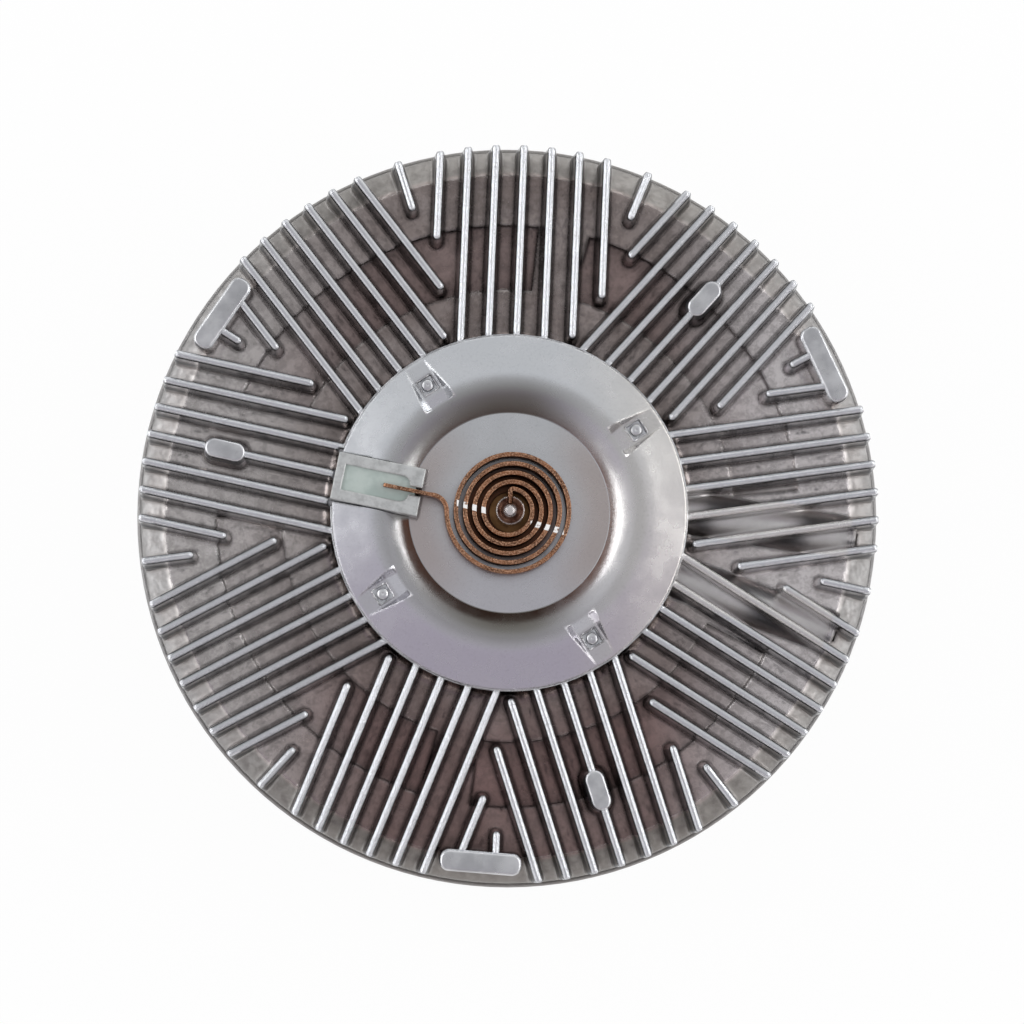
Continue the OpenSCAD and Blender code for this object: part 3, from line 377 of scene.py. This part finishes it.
def zinc_plate():
    """Bright zinc plating: fine grain, a painted violet reflection below, a painted warm one to the right and
    a painted brownish one at the flat's sides; painted shade on the dish wall and a painted brown shade under
    the coil.
    """
    g = material_graph("zinc_plate")
    at = g.position()
    split = g.add("ShaderNodeSeparateXYZ", Vector=at)
    radius = g.radius(split)
    # Painted reflection: a violet cast towards -Y
    below = g.span(split.outputs["Y"], 20 * MM, -45 * MM)
    cool = g.mix(below, ZINC_COOL, VIOLET_REFLECTION)
    # Painted reflection: a warm cast towards +X
    aside = g.span(split.outputs["X"], 10 * MM, 45 * MM)
    reflected_zinc = g.mix(g.times(aside, 0.8), cool, WARM_REFLECTION)
    eastward = g.math("DIVIDE", split.outputs["X"], radius)
    # Painted shade on the dish wall, lifted on its +X part and partly on its -X part
    lit = g.math("ADD", g.span(eastward, 0.1, 0.95), g.span(eastward, -0.1, -1.0, 0.0, 0.4))
    wall_colour = g.mix(lit, WALL_SHADE, reflected_zinc)
    reach = (POCKET_HALF, POCKET_HALF + 0.4 * MM, -PLATE_REACH, PLATE_REACH)
    lines = (g.beside_line(split, STAKE_FIRST + i * math.pi / 2, 0.0, *reach) for i in range(2))
    pockets = g.times(g.math("MAXIMUM", *lines), g.span(radius, POCKET_IN_R - 1.2 * MM, POCKET_IN_R))
    past_flat = g.span(radius, FLAT_R - 0.3 * MM, FLAT_R)
    wall = g.times(past_flat, g.span(radius, CREST_FOOT_R, CREST_FOOT_R - 1.2 * MM))
    bare_wall = g.times(wall, g.math("SUBTRACT", 1.0, pockets))
    # The painted wall shade deepens towards the flat and stays off the stake pockets
    depth = g.times(bare_wall, g.span(radius, 38.6 * MM, 31.5 * MM, 0.0, 0.95))
    walled = g.mix(depth, reflected_zinc, wall_colour)
    # Painted reflection: the flat's outer part turns brownish towards +X and -X
    off_middle = g.span(g.math("ABSOLUTE", eastward), 0.35, 0.95, 0.0, 0.55)
    outer_flat = g.times(g.span(radius, 15 * MM, 25 * MM), g.span(radius, FLAT_R, FLAT_R - 0.3 * MM))
    warmed = g.mix(g.times(off_middle, outer_flat), walled, FLAT_SIDE_REFLECTION)
    # Painted shade: the plate is dark brown under the coil, inside 11 to 16 mm from the axis
    coil_shaded = g.mix(g.span(radius, 16 * MM, 11 * MM), warmed, COIL_SHADE_BROWN)
    speckle = g.span(g.noise(at, 1400, 3, 0.7), 0.3, 0.5)
    colour = g.mix(speckle, g.mix(0.1, coil_shaded, ZINC_SPECK), coil_shaded)
    rough = g.span(g.noise(at, 120, 4, 0.6), 0.3, 0.7, 0.2, 0.3)
    tilt = g.span(radius, CREST_FOOT_R - 0.5 * MM, FLAT_R + 1.5 * MM, OUTER_SLOPE, WALL_SLOPE)
    slope = g.times(g.span(radius, FLAT_R - 0.2 * MM, FLAT_R + 0.2 * MM), tilt)
    calm = g.vector_mix(bare_wall, g.soft_edges(0.8 * MM), g.dish(split, radius, slope))
    grain = g.bump(g.noise(at, 1500, 3, 0.6), 0.014 * MM, 0.5, calm)
    normal = g.bump(g.noise(at, 60, 2, 0.5), 0.3 * MM, 0.25, grain)
    return g.surface(Base_Color=colour, Metallic=1.0, Roughness=rough, Normal=normal)


def matt_aluminium():
    """Shot-blasted aluminium of the anchor block."""
    g = material_graph("matt_aluminium")
    at = g.position()
    colour = g.mix(g.span(g.noise(at, 420, 4, 0.7), 0.3, 0.6), srgb(186, 188, 187), srgb(208, 210, 209))
    rough = g.span(g.noise(at, 300, 3), 0.3, 0.7, 0.4, 0.52)
    normal = g.bump(g.noise(at, 1000, 4, 0.7), 0.05 * MM, 0.5, g.soft_edges(0.7 * MM))
    return g.surface(Base_Color=colour, Metallic=0.9, Roughness=rough, Normal=normal)


def potting_resin():
    """Cloudy grey-green resin."""
    g = material_graph("potting_resin")
    at = g.position()
    colour = g.mix(g.span(g.noise(at, 180, 3), 0.35, 0.65), srgb(156, 169, 164), srgb(176, 187, 182))
    normal = g.bump(g.noise(at, 160, 2), 0.25 * MM, 0.5)
    return g.surface(Base_Color=colour, Roughness=0.34, Normal=normal, Coat_Weight=0.3, Coat_Roughness=0.2)


def bimetal():
    """Copper-brown strip with darker mottling, painted shade on its sides below the top edge, and a straight
    stripe of white paint over its edges.
    """
    g = material_graph("bimetal")
    at = g.position()
    split = g.add("ShaderNodeSeparateXYZ", Vector=at)
    blotch = g.noise(at, 2200, 4, 0.7)
    dark = g.mix(g.span(g.noise(at, 260, 3), 0.35, 0.65), STRIP_DARK, STRIP_BROWN)
    brown = g.mix(g.span(blotch, 0.42, 0.66), dark, STRIP_PALE)
    # Painted shade: the strip's sides are darker than its top edge
    edge = g.span(split.outputs["Z"], COIL_HIGH.z - 0.9 * MM, COIL_HIGH.z - 0.2 * MM)
    metal = g.mix(edge, STRIP_SIDE_SHADE, brown)
    # The stripe runs straight across the coil, and misses the middle and the outer turn
    slope, lift, half_width = -0.27, -1.85 * MM, 0.95 * MM
    line = g.math("MULTIPLY_ADD", split.outputs["X"], -slope)
    line.node.inputs[2].default_value = -lift
    across = g.math("ABSOLUTE", g.math("ADD", split.outputs["Y"], line))
    inside = g.span(across, half_width, half_width * 0.8)
    far = g.math("ABSOLUTE", split.outputs["X"])
    band = g.times(g.span(far, 5.4 * MM, 5.6 * MM), g.span(far, 14.6 * MM, 14.4 * MM))
    # Gaps worn in the paint stripe
    wear_and_highlight = g.span(g.noise(at, 700, 3), 0.3, 0.42)
    paint = g.times(g.times(inside, band), g.times(edge, wear_and_highlight))
    colour = g.mix(paint, metal, PAINT_WHITE)
    metallic = g.math("SUBTRACT", 0.85, g.times(paint, 0.85))
    rough = g.span(g.noise(at, 500, 3), 0.3, 0.7, 0.34, 0.55)
    normal = g.bump(blotch, 0.08 * MM, 0.5)
    return g.surface(Base_Color=colour, Metallic=metallic, Roughness=rough, Normal=normal)


def turned_steel():
    """Turned steel with fine rings round the axis."""
    g = material_graph("turned_steel")
    at = g.position()
    split = g.add("ShaderNodeSeparateXYZ", Vector=at)
    rings = g.add("ShaderNodeCombineXYZ", X=g.radius(split), Y=split.outputs["Z"]).outputs["Vector"]
    lines = g.noise(rings, 1800, 2)
    colour = g.mix(g.span(g.noise(at, 90, 4), 0.35, 0.65), srgb(162, 161, 160), srgb(180, 180, 182))
    rough = g.span(g.noise(at, 220, 3), 0.3, 0.7, 0.28, 0.42)
    normal = g.bump(lines, 0.05 * MM, 0.5, g.soft_edges(0.4 * MM))
    return g.surface(Base_Color=colour, Metallic=1.0, Roughness=rough, Normal=normal)


def valve_steel():
    """Polished shaft head: bright pip and rim, with a darker brown ring between them."""
    g = material_graph("valve_steel")
    at = g.position()
    split = g.add("ShaderNodeSeparateXYZ", Vector=at)
    radius = g.radius(split)
    ring = g.times(g.span(radius, 1.5 * MM, 1.9 * MM), g.span(radius, 3.9 * MM, 3.4 * MM))
    # Darker brown ring between the pip and the rim
    ring_brown = g.mix(g.span(g.noise(at, 500, 3), 0.35, 0.65), srgb(64, 40, 32), srgb(110, 80, 66))
    colour = g.mix(ring, srgb(226, 221, 220), ring_brown)
    rough = g.span(g.noise(at, 400, 3), 0.3, 0.7, 0.1, 0.2)
    normal = g.bump(g.noise(at, 900, 3), 0.05 * MM, 0.4, g.soft_edges(1.1 * MM))
    return g.surface(Base_Color=colour, Metallic=1.0, Roughness=rough, Normal=normal)


def plain_metal(name, dark, light, low_rough, high_rough):
    """Smooth metal with slight colour drift."""
    g = material_graph(name)
    at = g.position()
    colour = g.mix(g.span(g.noise(at, 140, 4), 0.35, 0.65), dark, light)
    rough = g.span(g.noise(at, 260, 3), 0.3, 0.7, low_rough, high_rough)
    normal = g.bump(g.noise(at, 900, 3), 0.03 * MM, 0.4, g.soft_edges(0.25 * MM))
    return g.surface(Base_Color=colour, Metallic=1.0, Roughness=rough, Normal=normal)


def soft_black(name, dark, light, rough):
    """Moulded rubber or plastic."""
    g = material_graph(name)
    at = g.position()
    colour = g.mix(g.span(g.noise(at, 300, 3), 0.35, 0.65), dark, light)
    normal = g.bump(g.noise(at, 1200, 3), 0.04 * MM, 0.5)
    return g.surface(Base_Color=colour, Roughness=rough, Normal=normal)


CAST = cast_aluminium()
ZINC = zinc_plate()
BLOCK = matt_aluminium()
RESIN = potting_resin()
BIMETAL = bimetal()
STEEL = turned_steel()
VALVE = valve_steel()
PAD = plain_metal("pad_aluminium", srgb(190, 191, 194), srgb(216, 217, 219), 0.26, 0.4)
BURR = plain_metal("burr_zinc", srgb(150, 150, 152), srgb(228, 228, 230), 0.2, 0.4)
BRASS = plain_metal("brass", srgb(104, 76, 50), srgb(138, 104, 70), 0.3, 0.45)
BEARING = plain_metal("bearing_steel", srgb(196, 198, 200), srgb(222, 224, 226), 0.12, 0.22)
ROTOR = plain_metal("rotor_aluminium", srgb(176, 178, 180), srgb(204, 206, 208), 0.28, 0.42)
RUBBER = soft_black("seal_rubber", srgb(24, 24, 25), srgb(38, 38, 39), 0.6)
WIPER = soft_black("wiper_plastic", srgb(34, 34, 35), srgb(52, 52, 52), 0.5)

SLOT_MATERIALS = {
    "cast_aluminium": CAST, "zinc_plate": ZINC, "block_aluminium": BLOCK, "potting": RESIN,
    "bimetal": BIMETAL,
    "steel": STEEL, "bush_brass": BRASS, "seal_rubber": RUBBER, "wiper_plastic": WIPER,
    "bearing_steel": BEARING, "rotor_aluminium": ROTOR,
}
NODE_MATERIALS = {"valve_shaft": VALVE}


def dress_nodes():
    """Gives every CAD node the material of its slot, or one of its own."""
    for part in frame["record"]["subparts"]:
        mesh = nodes[part["node"]].data
        mesh.materials.clear()
        mesh.materials.append(NODE_MATERIALS.get(part["node"], SLOT_MATERIALS[part["material_slot"]]))


def add_mesh(name, verts, faces, material, smooth=True):
    mesh = bpy.data.meshes.new(name)
    mesh.from_pydata([tuple(v) for v in verts], [], faces)
    mesh.update()
    if smooth:
        mesh.polygons.foreach_set("use_smooth", [True] * len(mesh.polygons))
    mesh.materials.append(material)
    thing = bpy.data.objects.new(name, mesh)
    bpy.context.scene.collection.objects.link(thing)
    return thing


# Bimetal coil

STRIP_T = 1.2 * MM
COIL_PITCH = 2.5 * MM
HALF_TURNS = 9
COIL_IN_R = 6 * MM
TAB_END = 2 * MM
TAIL_L = 14 * MM
TAIL_PRESS = 0.1 * MM
ANCHOR_ANGLE = math.radians(168.5)
STRIP_EDGE = 0.22 * MM
TAB_CORNER = 0.8 * MM
TAIL_STEPS = 12
TURN_STEPS = 32
CORNER_STEPS = 5


def coil_path():
    """Points of the strip's middle line from tail to inner tab, with how far each point is wound."""
    shift = COIL_PITCH / 4
    out_r = COIL_IN_R + shift + (HALF_TURNS - 1) * COIL_PITCH / 2
    start = out_r + shift
    turn = ANCHOR_ANGLE - math.pi / 2
    bend_r = start * math.cos(turn) / (1 - math.cos(turn))
    bend_centre = Vector((-start - bend_r, 0))
    bend_end = bend_centre + bend_r * Vector((math.cos(turn), math.sin(turn)))
    along = Vector((math.cos(ANCHOR_ANGLE), math.sin(ANCHOR_ANGLE)))
    points = []
    for i in range(TAIL_STEPS):
        points.append((bend_end + along * TAIL_L * (1 - i / TAIL_STEPS), 0.0))
    for i in range(TAIL_STEPS):
        a = turn * (1 - i / TAIL_STEPS)
        points.append((bend_centre + bend_r * Vector((math.cos(a), math.sin(a))), 0.0))
    last_span = math.acos(TAB_CORNER / COIL_IN_R)
    total = HALF_TURNS * math.pi + last_span
    wound = 0.0
    for half in range(HALF_TURNS + 1):
        last = half == HALF_TURNS
        first = math.pi if half % 2 == 0 else 0.0
        side = 0.0 if last else (-shift if half % 2 == 0 else shift)
        r = COIL_IN_R if last else out_r - half * COIL_PITCH / 2
        span = last_span if last else math.pi
        for i in range(TURN_STEPS):
            a = span * i / TURN_STEPS
            place = Vector((side, 0)) + r * Vector((math.cos(first + a), math.sin(first + a)))
            points.append((place, (wound + a) / total))
        wound += span
    corner = Vector((TAB_CORNER, COIL_IN_R * math.sin(last_span) - TAB_CORNER))
    for i in range(CORNER_STEPS + 1):
        a = math.pi / 2 * (1 + i / CORNER_STEPS)
        points.append((corner + TAB_CORNER * Vector((math.cos(a), math.sin(a))), 1.0))
    points.append((Vector((0, TAB_END)), 1.0))
    return points


def make_coil():
    """Strip with rounded edges, wound along its path; it replaces the plain solid."""
    path = coil_path()
    low, high = COIL_LOW.z, COIL_HIGH.z
    half = STRIP_T / 2
    e = STRIP_EDGE
    section = [(-half, low + e), (-half, high - e), (-half + e * 0.3, high - e * 0.3), (-half + e, high),
               (half - e, high), (half - e * 0.3, high - e * 0.3), (half, high - e), (half, low + e),
               (half - e, low), (-half + e, low)]
    n = len(section)
    verts, weights = [], []
    for i, (place, wound) in enumerate(path):
        before = path[max(i - 1, 0)][0]
        after = path[min(i + 1, len(path) - 1)][0]
        ahead = (after - before).normalized()
        side = Vector((-ahead.y, ahead.x))
        squeeze = TAIL_PRESS if i < TAIL_STEPS else 0.0
        for across, z in section:
            p = place + side * across * (1 - squeeze / half)
            verts.append((p.x, p.y, min(max(z, low + squeeze), high - squeeze)))
            weights.append(wound)
    faces = []
    for i in range(len(path) - 1):
        for j in range(n):
            k = (j + 1) % n
            faces.append((i * n + j, i * n + k, (i + 1) * n + k, (i + 1) * n + j))
    faces.append(tuple(range(n)))
    faces.append(tuple(range((len(path) - 1) * n, len(path) * n))[::-1])
    coil = add_mesh("bimetal_strip", verts, faces, BIMETAL)
    fix = bmesh.new()
    fix.from_mesh(coil.data)
    bmesh.ops.recalc_face_normals(fix, faces=fix.faces)
    fix.to_mesh(coil.data)
    fix.free()
    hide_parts("bimetal_coil")
    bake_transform(coil)
    return coil


# Rounded tops of the posts and rim pads

GROUP_FIRST = math.radians(7.7)
THIRD = math.radians(120)
POST_ANGLE = GROUP_FIRST + math.radians(40)
POST_R = 79.5 * MM
PAD_ANGLE = GROUP_FIRST + math.radians(17.6)
PAD_R = COVER_HIGH.x - 6 * MM
TOP_EDGE = 0.8 * MM
ARC_STEPS = 8


def rounded_outline(length, width, corner, inset):
    """Points round a rectangle with round corners, moved inwards by the inset."""
    points = []
    r = corner - inset
    for quarter, (sx, sy) in enumerate(((1, 1), (-1, 1), (-1, -1), (1, -1))):
        centre = Vector((sx * (length / 2 - corner), sy * (width / 2 - corner)))
        for i in range(ARC_STEPS + 1):
            a = math.pi / 2 * (quarter + i / ARC_STEPS)
            points.append(centre + r * Vector((math.cos(a), math.sin(a))))
    return points


def add_top(name, centre_r, angle, length, width, corner, top, skirt, draft):
    """Flat top with a rounded edge and drafted sides, over a pad or post of the casting."""
    levels = [(-draft * skirt, top - TOP_EDGE - skirt), (0.0, top - TOP_EDGE)]
    for i in range(1, 6):
        a = math.pi / 2 * i / 5
        levels.append((TOP_EDGE * (1 - math.cos(a)), top - TOP_EDGE + TOP_EDGE * math.sin(a)))
    turn = Matrix.Rotation(angle, 3, "Z")
    verts, faces = [], []
    for inset, z in levels:
        for p in rounded_outline(length, width, corner, inset):
            verts.append(turn @ Vector((centre_r + p.x, p.y, z)))
    n = len(verts) // len(levels)
    for ring in range(len(levels) - 1):
        for i in range(n):
            k = (i + 1) % n
            faces.append((ring * n + i, ring * n + k, (ring + 1) * n + k, (ring + 1) * n + i))
    faces.append(tuple(range((len(levels) - 1) * n, len(levels) * n)))
    thing = add_mesh(name, verts, faces, PAD)
    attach(thing, "housing")


def make_tops():
    for i in range(3):
        add_top(f"post_top_{i + 1}", POST_R, POST_ANGLE + i * THIRD, 11.2 * MM, 5.3 * MM, 2.64 * MM,
                FIN_TOP + 0.3 * MM, 4 * MM, 0.12)
        add_top(f"pad_top_{i + 1}", PAD_R, PAD_ANGLE + i * THIRD, 5.7 * MM, 22.2 * MM, 2.5 * MM,
                FIN_TOP + 0.2 * MM, 4 * MM, 0.03)


# Stakes and crimped edge of the plate

STAKE_R = 41.2 * MM
POCKET_Z = COVER_HIGH.z - 0.3 * MM
WINDOW = 4.6 * MM
BURR_R = 0.26 * MM
PIN_R = 1.55 * MM
PIN_RISE = 0.55 * MM
EDGE_R = PLATE_HIGH.x + 0.1 * MM
EDGE_Z = POCKET_Z - 1.0 * MM
CRIMP_R = 0.2 * MM


def add_bead(name, path, size, closed, seed, material):
    """Rough bead of metal along a path, with a random thickness from point to point."""
    rough = random.Random(seed)
    sides = 6
    verts, faces = [], []
    count = len(path)
    for i, p in enumerate(path):
        ahead = (path[(i + 1) % count] - path[i - 1]).normalized()
        out = ahead.cross(AXIS).normalized()
        r = size * rough.uniform(0.55, 1.35)
        shift = size * rough.uniform(-0.3, 0.3)
        for j in range(sides):
            a = 2 * math.pi * j / sides
            verts.append(p + out * (r * math.cos(a) + shift) + AXIS * r * math.sin(a))
    for i in range(count if closed else count - 1):
        m = (i + 1) % count
        for j in range(sides):
            k = (j + 1) % sides
            faces.append((i * sides + j, m * sides + j, m * sides + k, i * sides + k))
    if not closed:
        faces.append(tuple(range(sides)))
        faces.append(tuple(range((count - 1) * sides, count * sides))[::-1])
    bead = add_mesh(name, verts, faces, material)
    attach(bead, "housing")


def add_pin_head(name, centre):
    """Domed head of a stake, with a small dimple in the middle."""
    profile = [(PIN_R, -0.3 * MM), (PIN_R, 0.1 * MM)]
    for i in range(1, 7):
        a = math.pi / 2 * i / 7
        profile.append((PIN_R * math.cos(a), 0.1 * MM + PIN_RISE * math.sin(a)))
    profile.append((0.25 * MM, 0.1 * MM + PIN_RISE * 0.8))
    steps = 24
    angles = [2 * math.pi * i / steps for i in range(steps)]
    verts = [centre + Vector((r * math.cos(a), r * math.sin(a), z)) for r, z in profile for a in angles]
    faces = []
    for ring in range(len(profile) - 1):
        for i in range(steps):
            k = (i + 1) % steps
            faces.append((ring * steps + i, ring * steps + k, (ring + 1) * steps + k, (ring + 1) * steps + i))
    faces.append(tuple(range((len(profile) - 1) * steps, len(profile) * steps)))
    head = add_mesh(name, verts, faces, PAD)
    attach(head, "housing")


def make_stakes():
    """Raised burr round each window of the plate, and the upset head of each stake."""
    for i in range(4):
        angle = STAKE_FIRST + i * math.pi / 2
        turn = Matrix.Rotation(angle, 3, "Z")
        centre = Vector((STAKE_R, 0, POCKET_Z))
        outline = rounded_outline(WINDOW, WINDOW, 0.5 * MM, 0.0)
        path = []
        for k, p in enumerate(outline):
            nearest = outline[(k + 1) % len(outline)]
            for step in range(3):
                q = p.lerp(nearest, step / 3)
                path.append(turn @ (centre + Vector((q.x, q.y, 0))))
        add_bead(f"stake_burr_{i + 1}", path, BURR_R, True, 11 + i, BURR)
        add_pin_head(f"stake_head_{i + 1}", turn @ centre)


def make_edge():
    """Fine crimp where the hub is rolled over the plate's edge, open at the anchor block."""
    gap = math.radians(10)
    span = 2 * math.pi - 2 * gap
    count = 420
    path = []
    for i in range(count):
        a = ANCHOR_ANGLE + gap + span * i / (count - 1)
        path.append(Vector((EDGE_R * math.cos(a), EDGE_R * math.sin(a), EDGE_Z)))
    add_bead("edge_crimp", path, CRIMP_R, False, 3, BURR)


# Stage, light and camera

def make_stage():
    """Pale floor under the clutch: white to the camera and to mirrors, with a faint shadow."""
    size = 6.0
    verts = [(-size, -size, 0), (size, -size, 0), (size, size, 0), (-size, size, 0)]
    g = material_graph("floor")
    diffuse = g.add("ShaderNodeBsdfDiffuse", Color=(0.9, 0.9, 0.9, 1))
    glow = g.add("ShaderNodeEmission", Color=(1, 1, 1, 1), Strength=1.0)
    rays = g.add("ShaderNodeLightPath")
    mirrored = g.math("MAXIMUM", rays.outputs["Is Glossy Ray"], rays.outputs["Is Transmission Ray"])
    seen = g.math("MAXIMUM", rays.outputs["Is Camera Ray"], mirrored)
    share = g.times(seen, 0.95)
    mixed = g.add("ShaderNodeMixShader", Fac=share)
    g.tree.links.new(diffuse.outputs["BSDF"], mixed.inputs[1])
    g.tree.links.new(glow.outputs["Emission"], mixed.inputs[2])
    g.tree.links.new(mixed.outputs["Shader"], g.output.inputs["Surface"])
    floor = add_mesh("floor", verts, [(0, 1, 2, 3)], g.owner, smooth=False)


def add_light(name, place, target, size_x, size_y, power):
    lamp = bpy.data.lights.new(name, "AREA")
    lamp.shape = "RECTANGLE"
    lamp.size, lamp.size_y = size_x, size_y
    lamp.energy = power
    thing = bpy.data.objects.new(name, lamp)
    thing.location = place
    thing.rotation_euler = (Vector(target) - Vector(place)).to_track_quat("-Z", "Y").to_euler()
    bpy.context.scene.collection.objects.link(thing)


def make_lights():
    """Long low soft boxes all round, which draw bright lines on the fins; the room gives most light."""
    middle = (0, 0, 60 * MM)
    add_light("back_box", (0.2, 1.3, 0.53), middle, 1.4, 0.25, 2.5)
    add_light("front_box", (0.0, -1.3, 0.53), middle, 1.4, 0.25, 1.5)
    add_light("left_box", (-1.2, 0.2, 0.85), middle, 1.4, 0.3, 6.0)
    add_light("right_box", (1.2, 0.1, 0.85), middle, 1.4, 0.3, 6.0)


def make_room():
    """Light dome: grey overhead, paler towards the back, dim in front and bright low down at both sides."""
    world = bpy.data.worlds.new("room")
    bpy.context.scene.world = world
    g = Graph(world, "ShaderNodeOutputWorld")
    split = g.add("ShaderNodeSeparateXYZ", Vector=g.add("ShaderNodeTexCoord").outputs["Generated"])
    x, y, z = (split.outputs[key] for key in ("X", "Y", "Z"))
    level = g.math("SQRT", g.math("MAXIMUM", g.math("SUBTRACT", 1.0, g.times(z, z)), 0.0001))
    across = g.math("DIVIDE", x, level)
    along = g.math("DIVIDE", y, level)
    mid = g.mix(g.span(along, -0.7, 0.7), (0.52, 0.49, 0.55, 1), (0.68, 0.69, 0.71, 1))
    horizon = g.mix(g.span(along, -0.7, 0.7), (0.35, 0.32, 0.31, 1), (0.6, 0.6, 0.6, 1))
    upper = g.mix(g.span(z, 0.985, 0.87), (0.53, 0.53, 0.54, 1), mid)
    grey = g.mix(g.span(z, 0.8, 0.5), upper, horizon)
    sides = g.mix(g.span(across, -0.3, 0.3), (1.3, 1.29, 1.29, 1), (1.36, 1.34, 1.31, 1))
    aside = g.span(g.math("ABSOLUTE", across), 0.45, 0.85)
    in_band = g.times(g.span(z, 0.03, 0.15), g.span(z, 0.64, 0.42))
    dome = g.mix(g.times(in_band, aside), grey, sides)
    background = g.add("ShaderNodeBackground", Color=dome, Strength=1.0)
    g.tree.links.new(background.outputs["Background"], g.output.inputs["Surface"])


def make_camera():
    """Camera at the photograph's angle, framed by the rim's circle in the photograph."""
    data = bpy.data.cameras.new("camera")
    data.sensor_width = SENSOR_MM
    pixels_per_metre = RIM_PIXELS / RIM_R
    data.lens = pixels_per_metre * CAMERA_DISTANCE * SENSOR_MM / PIXELS
    camera = bpy.data.objects.new("camera", data)
    aim = Vector(((PIXELS / 2 - RIM_CENTRE_PX[0]) / pixels_per_metre,
                  (RIM_CENTRE_PX[1] - PIXELS / 2) / pixels_per_metre, RIM_PLANE_Z))
    back = Vector((-math.sin(CAMERA_TILT_X), -math.sin(CAMERA_TILT_Y), 1)).normalized()
    right = Vector((0, 1, 0)).cross(back).normalized()
    up = back.cross(right)
    place = aim + back * CAMERA_DISTANCE
    camera.matrix_world = Matrix(((right.x, up.x, back.x, place.x), (right.y, up.y, back.y, place.y),
                                  (right.z, up.z, back.z, place.z), (0, 0, 0, 1)))
    bpy.context.scene.collection.objects.link(camera)
    bpy.context.scene.camera = camera


make_camera()
make_stage()
make_lights()
make_room()
dress_nodes()
make_coil()
make_tops()
make_stakes()
make_edge()

bpy.context.scene.view_settings.view_transform = "Standard"
